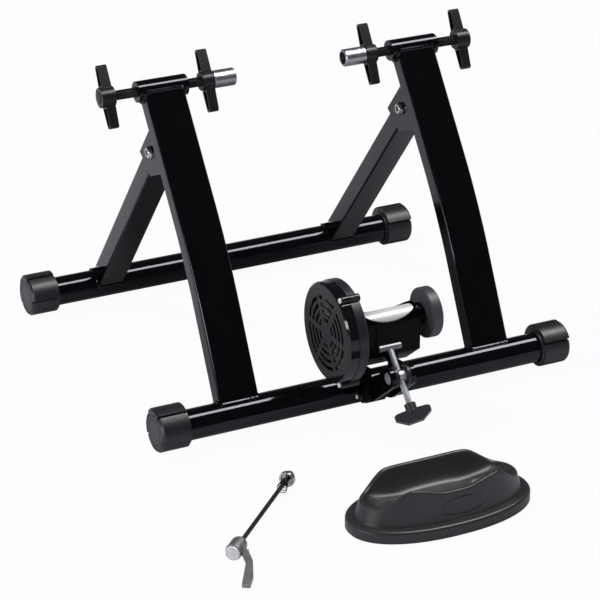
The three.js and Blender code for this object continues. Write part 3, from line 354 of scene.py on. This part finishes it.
# %% A node group that shades shallow edges smoothly
def smooth_group(limit=math.radians(32)):
    group = bpy.data.node_groups.new("smooth_shallow_edges", "GeometryNodeTree")
    group.interface.new_socket("Geometry", in_out="INPUT", socket_type="NodeSocketGeometry")
    group.interface.new_socket("Geometry", in_out="OUTPUT", socket_type="NodeSocketGeometry")
    start, end = group.nodes.new("NodeGroupInput"), group.nodes.new("NodeGroupOutput")
    angle = group.nodes.new("GeometryNodeInputMeshEdgeAngle")
    compare = group.nodes.new("FunctionNodeCompare")
    compare.operation = "LESS_EQUAL"
    compare.inputs[1].default_value = limit
    faces, edges = (group.nodes.new("GeometryNodeSetShadeSmooth") for _ in range(2))
    edges.domain = "EDGE"
    link = group.links.new
    link(angle.outputs[0], compare.inputs[0])
    link(start.outputs[0], faces.inputs[0])
    link(faces.outputs[0], edges.inputs[0])
    link(compare.outputs[0], edges.inputs["Shade Smooth"])
    link(edges.outputs[0], end.inputs[0])
    return group


shade = smooth_group()
print("shading group has", len(shade.nodes), "nodes")


# %% Round the edges of a piece
weld_gap = 0.002 * MM
flat_angle, corner_angle = math.radians(0.6), math.radians(34)


def soften(piece, radius=0.0, segments=2, solid=False):
    """Rounds a piece's corners and shades its facets smoothly, with true normals on a flat face."""
    if solid:
        piece.modifiers.new("weld", "WELD").merge_threshold = weld_gap
        flat = piece.modifiers.new("flat", "DECIMATE")
        flat.decimate_type = "DISSOLVE"
        flat.angle_limit = flat_angle
    if radius:
        bevel = piece.modifiers.new("bevel", "BEVEL")
        bevel.width, bevel.segments = radius, segments
        bevel.limit_method, bevel.angle_limit = "ANGLE", corner_angle
        bevel.use_clamp_overlap = True
    piece.modifiers.new("shade", "NODES").node_group = shade
    if solid:
        normals = piece.modifiers.new("normals", "WEIGHTED_NORMAL")
        normals.keep_sharp = True
    return piece


# %% [markdown]
# How round an edge is depends on how it was made: rubber and castings are generous, sheet and turned
# parts hardly broken. A piece that isn't named here has a corner of a third of a millimetre.

# %% Edge radii by solid
edge_radius = {}
for side in ("left", "right"):
    edge_radius.update({
        f"front_{side}_cap": 1.1, f"rear_{side}_cap": 1.1, f"{side}_handle": 0.9,
        f"{side}_lock_nut": 0.9, f"{side}_upright": 0.0, f"{side}_rear_leg": 0.0,
        f"{side}_axle_sleeve": 0.8, f"{side}_hinge_bracket": 0.9, f"{side}_bush": 1.2,
    })
edge_radius.update({
    "unit_bracket": 0.9, "cradle": 1.2, "flywheel": 0.8, "housing_back": 0.8, "vented_cover": 0.35,
    "adjuster_knob": 1.8, "quick_lever": 1.6, "cam_housing": 0.6, "cam_cap": 0.9, "skewer_nut": 0.4,
    "cross_bar": 0.8, "barrel": 0.6, "left_axle_cup": 0.0, "right_axle_cup": 0.0,
    "front_crossbar": 0.0, "rear_crossbar": 0.0,
})
usual_radius, finely_rounded = 0.3, 1
for name, solid in nodes.items():
    solid.data.materials.clear()
    solid.data.materials.append(finishes[slot_of[name]])
    radius = edge_radius.get(name, usual_radius)
    soften(solid, radius * MM, 3 if radius > finely_rounded else 2, solid=True)
print("softened", len(nodes), "solids")


# %% [markdown]
# ## Making meshes
#
# Two helpers make nearly every new piece. `surface` turns rows of points into a skin of four sided
# faces. `wire` runs a ring of points along a path, and because its radius may change from ring to
# ring it serves a spring, a weld bead and a tapered pin alike.

# %% Skin from rows of points
def add_piece(name, body, slot, points, faces, replaced=()):
    """A new piece that rides on a body, wears a slot's finish and may stand in for a solid."""
    mesh = bpy.data.meshes.new(name)
    mesh.from_pydata([tuple(point) for point in points], [], faces)
    shell = bmesh.new()
    shell.from_mesh(mesh)
    bmesh.ops.recalc_face_normals(shell, faces=shell.faces)
    shell.to_mesh(mesh)
    shell.free()
    mesh.materials.append(finishes[slot])
    piece = bpy.data.objects.new(name, mesh)
    bpy.context.scene.collection.objects.link(piece)
    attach(piece, body)
    if replaced:
        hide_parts(*replaced)
    return soften(piece)


def surface(rows, closed_along=False):
    """Points and faces of a skin over rows of points, each row a closed ring, with capped ends."""
    count, ring = len(rows), len(rows[0])
    points = [point for row in rows for point in row]
    faces = []
    for i in range(count if closed_along else count - 1):
        here, there = i * ring, (i + 1) % count * ring
        for k in range(ring):
            after = (k + 1) % ring
            faces.append((here + k, here + after, there + after, there + k))
    if not closed_along:
        faces.append(tuple(range(ring)))
        faces.append(tuple(range((count - 1) * ring, count * ring)))
    return points, faces


# %% Ring of points along a path
def wire(path, radius, sides=10, closed=False):
    """A round wire along the path. The radius is a number, or a function of the ring's number."""
    rows = []
    normal = None
    for i, point in enumerate(path):
        before = path[i - 1] if closed or i else point
        after = path[(i + 1) % len(path)] if closed or i + 1 < len(path) else point
        tangent = (after - before).normalized()
        if normal is None:
            normal = tangent.orthogonal().normalized()
        normal = (normal - normal.dot(tangent) * tangent).normalized()
        across = tangent.cross(normal)
        reach = radius(i) if callable(radius) else radius
        turns = [2 * math.pi * k / sides for k in range(sides)]
        rows.append([point + reach * (math.cos(t) * normal + math.sin(t) * across) for t in turns])
    return surface(rows, closed)


# %% [markdown]
# ## Weld beads
#
# The uprights and legs are shaped to the round bars and welded all round. A hand laid bead is a
# string of overlapping pools, so its width swells and narrows every few millimetres. The bead
# follows the line in which the tube meets the bar, and that line is found by running each line of
# the tube's skin down to the bar's surface.

# %% Where a tube meets a bar
def rounded_outline(width, depth, corner, spacing):
    """Points round a rectangle with rounded corners, at an even spacing."""
    points = []
    for k, (sx, sy) in enumerate(((1, 1), (-1, 1), (-1, -1), (1, -1))):
        centre = Vector((sx * (width / 2 - corner), sy * (depth / 2 - corner)))
        for step in range(5):
            turn = (k + step / 4) * math.pi / 2
            points.append(centre + corner * Vector((math.cos(turn), math.sin(turn))))
    dense = []
    for here, there in zip(points, points[1:] + points[:1]):
        count = max(1, round((there - here).length / spacing))
        dense += [here.lerp(there, n / count) for n in range(count)]
    return dense


def meeting_line(outline, origin, along, across, bar_centre, bar_radius, down=True):
    """Where lines along a leaning tube meet a bar that runs along X. `across` is the tube's depth."""
    found = []
    for u, v in outline:
        start = origin + Vector((u, 0, 0)) + v * across
        gap = start - bar_centre
        gap.x = 0
        half = gap.dot(along)
        root = math.sqrt(max(half * half - gap.dot(gap) + bar_radius ** 2, 0))
        found.append(start + (-half + root if down else -half - root) * along)
    return found


# %% Sizes of the welded tubes
bar_radius, sleeve_radius = 18.2 * MM, 12.7 * MM
tube_spread = 166 * MM
low_lean, high_lean = math.radians(27.2), math.radians(37)
upright_width, upright_depth, upright_corner = 50 * MM, 22.5 * MM, 3.5 * MM
leg_width, leg_depth, leg_corner, leg_shift = 34 * MM, 25 * MM, 2.5 * MM, 3.6 * MM
bead_spacing = 0.8 * MM
print("tubes stand", 2 * round(tube_spread / MM), "mm apart")

# %% The beads
bead_radius, top_bead_radius = 2.1 * MM, 2.8 * MM
points_per_pool = 3.5


def bead(name, body, path, closed=True, size=bead_radius):
    """A bead that swells with each pool, a little unevenly."""
    def swell(i):
        pool = abs(math.sin(math.pi * i / points_per_pool))
        return size * (0.86 + 0.14 * pool + 0.04 * math.sin(1.7 * i))
    return add_piece(name, body, "paint", *wire(path, swell, 9, closed))


upright_outline = rounded_outline(upright_width, upright_depth, upright_corner, bead_spacing)
for side, sign in (("left", -1), ("right", 1)):
    foot = front_axis + Vector((sign * tube_spread, 0, 0))
    along = Vector((0, math.sin(low_lean), math.cos(low_lean)))
    across = Vector((0, math.cos(low_lean), -math.sin(low_lean)))
    seat = meeting_line(upright_outline, foot, along, across, foot, bar_radius)
    bead(f"{side}_foot_weld", "stand", seat)
    top = sleeve[side]
    along = Vector((0, math.sin(high_lean), math.cos(high_lean)))
    across = Vector((0, math.cos(high_lean), -math.sin(high_lean)))
    seat = meeting_line(upright_outline, top, along, across, top, sleeve_radius, down=False)
    bead(f"{side}_top_weld", "stand", seat, size=top_bead_radius)
print("weld beads on both uprights")

# %% [markdown]
# The rear legs are open channels at the bottom, so their bead runs along the front wall alone and
# round its two corners.

# %% Beads on the rear legs
rear_axis = middle("rear_crossbar")
hinge_axis = middle("left_hinge_nut")
back, rise = rear_axis.y - hinge_axis.y, hinge_axis.z - rear_axis.z
leg_lean = math.atan2(back, rise) - math.asin(leg_shift / math.hypot(back, rise))
leg_up = Vector((0, -math.sin(leg_lean), math.cos(leg_lean)))
leg_back = Vector((0, math.cos(leg_lean), math.sin(leg_lean)))
round_the_corner = 6 * MM
front_wall = [point for point in rounded_outline(leg_width, leg_depth, leg_corner, bead_spacing)
              if point.y < -leg_depth / 2 + round_the_corner]
front_wall.sort(key=lambda point: math.atan2(point.x, -point.y))
for side, sign in (("left", -1), ("right", 1)):
    foot = Vector((shift.x + sign * tube_spread, rear_axis.y, rear_axis.z))
    path = meeting_line(front_wall, foot, leg_up, leg_back, foot, bar_radius)
    bead(f"{side}_leg_weld", "rear_frame", path, closed=False)
print("leg lean", round(math.degrees(leg_lean), 2), "degrees")

# %% [markdown]
# Each side wall of a leg stands on the bar too. Its bead is a short heavy one, laid over the top of
# the bar just outside the wall. A straight bead along the bar closes the gap between the walls.

# %% Beads under the side walls
wall_bead_radius, seam_bead_radius = 2.4 * MM, 3.2 * MM
wall_offset = leg_width / 2 + 0.6 * MM
wall_turns = [math.radians(degrees) for degrees in range(-24, 65, 4)]
seam_turn = math.radians(-10)


def on_rear_bar(x, turn, lift=0.0):
    """A point on the rear crossbar. The turn goes from its top towards the front."""
    radius = bar_radius + lift
    return Vector((x, rear_axis.y - radius * math.sin(turn), rear_axis.z + radius * math.cos(turn)))


for side, sign in (("left", -1), ("right", 1)):
    leg_x = shift.x + sign * tube_spread
    for wall in (-1, 1):
        arc = [on_rear_bar(leg_x + wall * wall_offset, turn, 0.4 * MM) for turn in wall_turns]
        name = f"{side}_leg_{'outer' if wall == sign else 'inner'}_weld"
        bead(name, "rear_frame", arc, closed=False, size=wall_bead_radius)
    seam = [on_rear_bar(leg_x + step * MM, seam_turn) for step in range(-16, 17)]
    bead(f"{side}_leg_seam", "rear_frame", seam, closed=False, size=seam_bead_radius)
print("beads under the side walls")

# %% [markdown]
# ## Bolt end
#
# The unit's bolt ends in a small dome in the bright finish, whose nearly white colour is a painted
# glint. It is turned from a quarter circle, which stops just short of the tip so that the last ring
# can be closed, and its flat back sits on the bolt's end.

# %% Domed end
nearly_upright = 0.49 * math.pi


def dome(name, body, base, outward, radius, height, sides=24, rings=6):
    side = outward.orthogonal().normalized()
    other = outward.cross(side)
    rows = []
    for i in range(rings + 1):
        rise = nearly_upright * i / rings
        reach = radius * math.cos(rise)
        centre = base + height * math.sin(rise) * outward
        rows.append([centre + reach * (math.cos(t) * side + math.sin(t) * other)
                     for t in (2 * math.pi * k / sides for k in range(sides))])
    return add_piece(name, body, "bright", *surface(rows))


# The dome's nearly white finish is a painted glint on the bolt's end.
sunk = 0.2 * MM
bolt_end = middle("unit_bolt")
bolt_end.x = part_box("unit_bolt")[0].x + sunk
dome("unit_bolt_dome", "stand", bolt_end, Vector((-1, 0, 0)), radius=2.9 * MM, height=1.7 * MM)
print("bolt end domed")

# %% [markdown]
# ## Threads
#
# The clamp spindles are M12 studs and the adjuster is an M8 screw, and both are threaded over nearly
# all their length. A thread is one ridge that climbs by its pitch in each turn, so the radius at any
# point depends only on how far along and how far round it is. Rings of points with that radius make
# the real shape, crests and roots and all, at a few points to the pitch.

# %% Threaded rods
def threaded_rod(start, end, radius, pitch, root_share=0.87, sides=20, rings=5, plain=()):
    """A threaded rod from start to end. `plain` holds (from, to, radius) of unthreaded stretches."""
    axis = (end - start).normalized()
    side = axis.orthogonal().normalized()
    other = axis.cross(side)
    length = (end - start).length
    count = round(length / pitch * rings)
    rows = []
    for i in range(count + 1):
        along = length * i / count
        smooth = next((r for low, high, r in plain if low <= along <= high), None)
        row = []
        for k in range(sides):
            turn = 2 * math.pi * k / sides
            ridge = abs(((along / pitch - k / sides) % 1) * 2 - 1)
            taper = min(1, along / pitch, (length - along) / pitch)
            out = radius * (1 - (1 - root_share) * (1 - ridge * taper)) if smooth is None else smooth
            row.append(start + along * axis + out * (math.cos(turn) * side + math.sin(turn) * other))
        rows.append(row)
    return surface(rows)


spindle_radius, spindle_pitch = 6 * MM, 1.75 * MM
for side in ("left", "right"):
    low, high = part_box(f"{side}_spindle")
    centre = middle(f"{side}_spindle")
    ends = Vector((low.x, centre.y, centre.z)), Vector((high.x, centre.y, centre.z))
    add_piece(f"{side}_threaded_spindle", f"{side}_clamp_screw", "black_steel",
              *threaded_rod(*ends, spindle_radius, spindle_pitch), replaced=(f"{side}_spindle",))
print("threads cut on both spindles")

# %% [markdown]
# The adjuster's screw runs from its cross bar to its knob, so its direction comes from those two.
# Its upper end is turned down to a plain neck that sits in the cross bar's socket, and a plain
# shank follows before the thread begins.

# %% Adjuster screw
cross_bar, barrel = middle("cross_bar"), middle("barrel")
screw_up = (cross_bar - barrel).normalized()
screw_radius, screw_pitch = 3.7 * MM, 1.25 * MM
screw_top, screw_foot = cross_bar + 0.7 * MM * screw_up, cross_bar - 78.8 * MM * screw_up
neck, shank = (0, 5 * MM, 2.2 * MM), (5 * MM, 26 * MM, 3.5 * MM)
thread = threaded_rod(screw_top, screw_foot, screw_radius, screw_pitch, sides=16, plain=(neck, shank))
add_piece("threaded_adjuster", "screw", "zinc", *thread, replaced=("adjuster_screw",))
print("adjuster leans", round(math.degrees(math.atan2(-screw_up.y, screw_up.z)), 1), "degrees")

# %% [markdown]
# ## Springs
#
# The return spring is one wire wound round the unit's bolt. The solid holds the same path with few
# points, and here it gets enough to look drawn. Its two ends turn towards the ears. The second
# spring is a small cone that lies loose on the skewer's rod beside the nut: it hangs from the rod by
# the inside of each turn, so its middle line sinks as its turns widen.

# %% Return spring
bolt_axis = middle("unit_nut")
bolt_axis.x = front_axis.x


def coil(turns, steps, at):
    """Points of a coil. `at` gives (along, radius, drop) for a share of its length."""
    return [(2 * math.pi * turns * i / steps, *at(i / steps)) for i in range(steps + 1)]


ear_gap, ear_play = 21.3 * MM, 0.3 * MM
straight_end = Vector((2 * MM, 0, 0))
coil_radius, coil_wire = 7.4 * MM, 0.95 * MM
coil_half = ear_gap / 2 - ear_play - straight_end.x


def even(share):
    return (2 * share - 1) * coil_half, coil_radius, 0


spring_path = [bolt_axis + Vector((along, radius * math.cos(turn), radius * math.sin(turn)))
               for turn, along, radius, _ in coil(5, 160, even)]
spring_path = [spring_path[0] - straight_end, *spring_path, spring_path[-1] + straight_end]
add_piece("wound_return_spring", "stand", "black_steel", *wire(spring_path, coil_wire, 10),
          replaced=("return_spring",))
print("return spring wound with", len(spring_path), "rings")

# %% Cone spring on the skewer
cam_middle, nut_middle = middle("cam_cap"), middle("skewer_nut")
skewer_along = cam_middle - nut_middle
skewer_along.z = 0
skewer_along.normalize()
skewer_side = Vector((0, 0, 1)).cross(skewer_along)
nut_face = cam_middle - 167.2 * MM * skewer_along
rod_radius, rod_play, cone_wire = 2.4 * MM, 0.3 * MM, 0.55 * MM
cone_start, cone_length = 1.2 * MM, 14.5 * MM
narrow_end, widening = 3.6 * MM, 2.2 * MM


def cone(share):
    radius = narrow_end + widening * share
    return cone_start + cone_length * share, radius, radius - rod_radius - rod_play - cone_wire


cone_path = [nut_face + along * skewer_along + radius * math.cos(turn) * skewer_side
             + Vector((0, 0, radius * math.sin(turn) - drop))
             for turn, along, radius, drop in coil(4, 96, cone)]
add_piece("skewer_cone_spring", "skewer", "black_steel", *wire(cone_path, cone_wire, 8))
print("cone spring wound with", len(cone_path), "rings")

# %% [markdown]
# ## The front wheel block
#
# The block is one thin moulding: an oval base, a body with drafted sides, and a trough between two
# walls whose tops rise and fall. The solid is a loft over a few ovals. This one runs through the
# same ovals with far more points, and each row of ovals is joined by a smooth curve, so that the
# edges roll over as moulded plastic does. An oval panel on the near side is edged by a fine groove,
# which is cut by moving the skin inward along that line.

# %% Ovals of the block
block_centre = middle("front_wheel_block")
block_centre.z = 0
squareness = 2 / 2.2
wall_end = 33
walls = {"far": (48.5, 2, 0.52, 0.9), "near": (54, 7.5, 0.55, 0.95)}


def ease(low, high, value):
    """A smooth step from 0 at low to 1 at high."""
    share = min(max((value - low) / (high - low), 0), 1)
    return share * share * (3 - 2 * share)


def wall_top(share, side):
    """Height of a wall's top edge in mm, at a share of the half length. Far walls have side > 0."""
    hump, dip, bend, foot = walls["far" if side > 0 else "near"]
    away = abs(share)
    return hump - (hump - wall_end) * ease(bend, foot, away) - dip * (1 - ease(0.1, 0.55, away))


def oval_point(half_length, half_width, turn, height):
    """A point of an oval that is a little squarer than an ellipse."""
    c, s = math.cos(turn), math.sin(turn)
    x = half_length * math.copysign(abs(c) ** squareness, c)
    y = half_width * math.copysign(abs(s) ** squareness, s)
    return Vector((x, y, height(x / half_length, s)))


print("block stands at", [round(v / MM) for v in block_centre])

# %% [markdown]
# The profile is a list of ovals, from the hollow underside over the base, up the outer wall, over
# its rolled edge and down into the trough. Each has a half length, a half width and a rule for its
# height, all in millimetres.

# %% Profile of the block, ring by ring
base_top, edge_roll, trough_low, trough_climb = 14, 2.2, 21, 3.75
wall_foot, wall_draft = (99.5, 46), 5
edge_inside, trough_edge = (88.5, 35), (64.5, 13)


def trough_floor(share):
    return trough_low + trough_climb * ease(0.5, 1, abs(share))


def level(z):
    return lambda share, side: z


def below_edge(drop):
    return lambda share, side: wall_top(share, side) - drop


def up_the_wall(mix):
    return lambda share, side: base_top + (wall_top(share, side) - edge_roll - base_top) * mix


def into_the_trough(sink):
    return lambda share, side: (
        (wall_top(share, side) - edge_roll) * (1 - sink) + trough_floor(share) * sink)


def block_rings():
    """(half length, half width, height) of each oval from the hollow underside to the trough."""
    rings = [(104.5, 51, level(11)), (104.5, 51, level(0.4)), (105, 51.5, level(0)),
             (109, 55.5, level(0)), (109.5, 56, level(0.5)), (109.5, 56, level(6)),
             (109.5, 56, level(10.6)), (109.3, 55.8, level(11.6)), (108.6, 55.1, level(12.8)),
             (107.5, 54, level(13.6)), (106.2, 52.7, level(base_top)), (101, 47.5, level(base_top)),
             (99.9, 46.4, level(14.15)), (99.4, 45.9, level(15))]
    for mix in (0.1, 0.25, 0.4, 0.55, 0.7, 0.85, 0.95):
        length, width = (here - wall_draft * mix for here in wall_foot)
        rings.append((length, width, up_the_wall(mix)))
    rings += [(94.4, 40.9, below_edge(1.5)), (93.8, 40.3, below_edge(0.6)),
              (92.8, 39.3, below_edge(0.1)), (91.5, 38, below_edge(0)), (90.2, 36.7, below_edge(0.3)),
              (89.2, 35.7, below_edge(1.1)), (*edge_inside, below_edge(edge_roll))]
    for mix in (0.12, 0.25, 0.4, 0.55, 0.7, 0.82, 0.92):
        length, width = (here + (there - here) * mix for here, there in zip(edge_inside, trough_edge))
        rings.append((length, width, into_the_trough(1 - (1 - mix) ** 2.4)))
    rings += [(*trough_edge, into_the_trough(1)), (56, 11, level(trough_low))]
    return rings


print(len(block_rings()), "ovals in the profile")

# %% Groove round the oval panel
panel_x, panel_z, panel_long, panel_tall = 6, 29.5, 28, 9.5
panel_low, panel_high = 17, 46
groove_depth, groove_half = 0.7, 0.75


def panel_groove(point):
    """How far the skin sinks at a point of the near wall, in millimetres."""
    if point.y > 0 or not panel_low <= point.z <= panel_high:
        return 0
    around = math.hypot((point.x - panel_x) / panel_long, (point.z - panel_z) / panel_tall)
    off_line = abs(around - 1) * panel_tall / groove_half
    return groove_depth * max(0, 1 - off_line)


print("panel", 2 * panel_long, "by", 2 * panel_tall, "mm")

# %% [markdown]
# The groove is finer than the gaps between the ovals, so the gaps of the outer wall are filled with
# four more ovals each.

# %% Mould the block
def between(low, high, k):
    return lambda share, side: low(share, side) * (1 - k) + high(share, side) * k


def wheel_block(steps=360):
    rings = block_rings()
    dense = []
    for (a, b, low), (c, d, high) in zip(rings, rings[1:]):
        parts = 5 if 93 < c < 99.6 and 40 < d < 46.5 else 1
        for n in range(parts):
            k = n / parts
            dense.append((a + (c - a) * k, b + (d - b) * k, between(low, high, k)))
    dense.append(rings[-1])
    rows = []
    for length, width, height in dense:
        row = []
        for k in range(steps):
            point = oval_point(length, width, 2 * math.pi * k / steps, height)
            sink = panel_groove(point) if 40 < width < 46.6 else 0
            row.append(block_centre + MM * (point + Vector((0, sink, 0))))
        rows.append(row)
    return surface(rows)


block = add_piece("moulded_block", "wheel_block", "block_plastic", *wheel_block(),
                  replaced=("front_wheel_block",))
print("block moulded:", len(block.data.vertices), "points")

# %% [markdown]
# ## Rings in the foot caps
#
# Each cap's end face has two round grooves. A cutter ring and a Boolean modifier make them without
# touching the solid. The cutter is hidden, and it rides on the cap's own body, so the groove turns
# with the cap.

# %% Grooves in the end faces
groove_rings = ((20.5 * MM, 1.1 * MM), (15.5 * MM, 0.8 * MM))
ring_depth = 0.9 * MM


def ring_cutter(name, centre, outward, radius, width, depth, sides=64):
    """A flat ring, twice as tall as the groove is deep, half sunk into the face."""
    half = width / 2
    corners = ((-half, -depth), (half, -depth), (half, depth), (-half, depth))
    rows = []
    for k in range(sides):
        turn = 2 * math.pi * k / sides
        spoke = Vector((0, math.cos(turn), math.sin(turn)))
        rows.append([centre + (radius + wider) * spoke + taller * outward for wider, taller in corners])
    mesh = bpy.data.meshes.new(name)
    points, faces = surface(rows, closed_along=True)
    mesh.from_pydata([tuple(p) for p in points], [], faces)
    cutter = bpy.data.objects.new(name, mesh)
    bpy.context.scene.collection.objects.link(cutter)
    cutter.hide_render = True
    cutter.display_type = "WIRE"
    return cutter


for end, bar in (("front", "front_crossbar"), ("rear", "rear_crossbar")):
    for side, sign in (("left", -1), ("right", 1)):
        cap = nodes[f"{end}_{side}_cap"]
        low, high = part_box(cap.name)
        face = Vector((low.x if sign < 0 else high.x, middle(bar).y, middle(bar).z))
        for n, (radius, width) in enumerate(groove_rings):
            cutter = ring_cutter(f"{cap.name}_groove_{n}", face, Vector((sign, 0, 0)),
                                 radius, width, ring_depth)
            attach(cutter, f"{end}_{side}_foot")
            cut = cap.modifiers.new(f"groove_{n}", "BOOLEAN")
            cut.object, cut.operation, cut.solver = cutter, "DIFFERENCE", "EXACT"
            cap.modifiers.move(len(cap.modifiers) - 1, 1 + n)
print("grooves cut in four caps")

# %% [markdown]
# ## Floor, light and camera
#
# The studio is a white sweep. The camera sees a floor that is nearly all its own light, and the
# small rest takes a soft shadow. To reflections the floor is darker, and in a round zone between the
# two crossbars it carries painted shade: a black glow mixed in for reflected rays only, standing for
# the shade a real floor would have under the object. Gloss black then stays black along its underside.

# %% Floor
own_light, own_light_mirrored = 0.96, 0.1
# Painted shade: the centre, the inner and outer radius and the strength of the black glow that
# reflections see on the floor.
painted_shade_centre, painted_shade_inner_radius, painted_shade_outer_radius, darkness = Vector((0, 235 * MM, 0)), 0.15, 0.34, 0.8


def make_floor(size=30.0):
    half = size / 2
    corners = [(-half, -half, 0), (half, -half, 0), (half, half, 0), (-half, half, 0)]
    mesh = bpy.data.meshes.new("floor")
    mesh.from_pydata(corners, [], [(0, 1, 2, 3)])
    floor = bpy.data.objects.new("floor", mesh)
    bpy.context.scene.collection.objects.link(floor)
    floor.location.z = -0.2 * MM
    finish = Finish("floor_sweep", Roughness=0.7, Base_Color=(0.785, 0.765, 0.85))
    seen, mirrored = finish.ray("Camera"), finish.mirrored()
    away = finish.node("ShaderNodeVectorMath", {"operation": "DISTANCE"},
                       {0: finish.place(), 1: shift + painted_shade_centre}, out=1)
    # Painted shade mask: 1 near the centre under the object, fading to 0 beyond the outer radius.
    dark = 1 - finish.steps(away, painted_shade_inner_radius, painted_shade_outer_radius)
    matt = Wire(finish, finish.shader.outputs[0])
    glow = finish.node("ShaderNodeEmission", None, {"Color": (1, 1, 1), "Strength": 1.0})
    # Painted shade: a black glow that only reflected rays see.
    painted_shade_glow = finish.node("ShaderNodeEmission", None, {"Color": (0, 0, 0), "Strength": 1.0})
    lit = finish.node("ShaderNodeMixShader", None,
                      {0: own_light * seen + own_light_mirrored * mirrored, 1: matt, 2: glow})
    mixed = finish.node("ShaderNodeMixShader", None,
                        {0: darkness * (mirrored * dark), 1: lit, 2: painted_shade_glow})
    finish.feed(finish.tree.nodes["Material Output"].inputs["Surface"], mixed)
    mesh.materials.append(finish.material)
    floor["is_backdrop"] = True
    return floor


print(make_floor().name, "laid")

# %% [markdown]
# Above the horizon a studio is dark apart from its lamps, and gloss black needs that: its front
# faces stay black and only the lamps draw lines along the tubes. The world says so with Light Path.
# It is white to the camera, an even fill to diffuse light, and to reflections a pale grey band low
# down behind the object with darkness above it and in front.

# %% World
fill, mirrored_dark, mirrored_backdrop = 0.42, 0.03, 0.35
world = bpy.data.worlds.new("studio")
bpy.context.scene.world = world
world.use_nodes = True
sky = Graph(world.node_tree)
direction = sky.node("ShaderNodeTexCoord", out="Generated")
behind = sky.node("ShaderNodeSeparateXYZ", None, {0: direction}, out="Y")
height = sky.node("ShaderNodeSeparateXYZ", None, {0: direction}, out="Z")
backdrop = sky.steps(behind, 0.1, 0.5) * (1 - sky.steps(height, 0.1, 0.3))
seen, mirrored = sky.ray("Camera"), sky.mirrored()
studio = mirrored * (mirrored_dark + mirrored_backdrop * backdrop) + (1 - mirrored) * fill
background = sky.tree.nodes["Background"]
sky.feed(background.inputs["Color"], (1, 1, 1))
sky.feed(background.inputs["Strength"], seen + (1 - seen) * studio)
print("world has", len(sky.tree.nodes), "nodes")

# %% [markdown]
# The long box overhead draws the white stripe along every tube, and the tall one on the left draws
# the line down the corner of each upright. They are there for reflections alone. The soft key light
# and the fill do the real lighting, at a level where a colour renders about as it is written.

# %% Lamps
def softbox(name, place, aim, width, height, power, turn=0.0, diffuse=True, glossy=True):
    """A rectangular lamp, in metres and watts. Its width lies along X, turned in plan by degrees."""
    data = bpy.data.lights.new(name, "AREA")
    data.shape, data.size, data.size_y, data.energy = "RECTANGLE", width, height, power
    lamp = bpy.data.objects.new(name, data)
    bpy.context.scene.collection.objects.link(lamp)
    back = (Vector(place) - Vector(aim)).normalized()
    long = Vector((math.cos(math.radians(turn)), math.sin(math.radians(turn)), 0))
    long = (long - long.dot(back) * back).normalized()
    lamp.matrix_world = Matrix((long, back.cross(long), back)).transposed().to_4x4()
    lamp.location = place
    lamp.visible_camera, lamp.visible_diffuse, lamp.visible_glossy = False, diffuse, glossy
    return lamp


softbox("overhead_box", (0.8, -0.2, 2.1), (0, 0.1, 0.1), 1.6, 0.6, 45, turn=18, diffuse=False)
softbox("left_box", (-2.4, -0.8, 0.55), (0, 0, 0.2), 1.5, 0.35, 18, turn=90, diffuse=False)
softbox("key_box", (-1.6, 0.9, 2.2), (0, 0, 0.1), 1.4, 1.4, 34, glossy=False)
softbox("fill_box", (1.8, -1.6, 1.9), (0, 0, 0.1), 1.2, 1.2, 8, glossy=False)
print("four lamps")

# %% [markdown]
# The camera stands where the photograph was taken from: 3 m away, 26 degrees round to the left and
# 25 degrees up, with a long lens, which keeps the tubes nearly parallel. Its place and its aim are
# in millimetres from the reference point.

# %% Camera
eye, aim = Vector((-1215.8, -2305.6, 1348.1)), Vector((-5.855, 166.939, 65.867))
camera = bpy.data.objects.new("camera", bpy.data.cameras.new("camera"))
bpy.context.scene.collection.objects.link(camera)
camera.data.lens, camera.data.sensor_width = 148.49, 36
camera.data.clip_start, camera.data.clip_end = 0.05, 60
camera.location = shift + MM * eye
target = shift + MM * aim
camera.rotation_mode = "QUATERNION"
camera.rotation_quaternion = (target - camera.location).to_track_quat("-Z", "Y")
bpy.context.scene.camera = camera
bpy.context.scene.view_settings.view_transform = "Standard"
print("camera is", round((target - camera.location).length, 2), "m from its aim")

# %% [markdown]
# ## Close the scene
#
# The box of the dressed object is printed. The dressed object has to stay in the box of the
# solids.

# %% Sizes and finish
low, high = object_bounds()
print("dressed box", [round(v / MM, 1) for v in low], [round(v / MM, 1) for v in high])
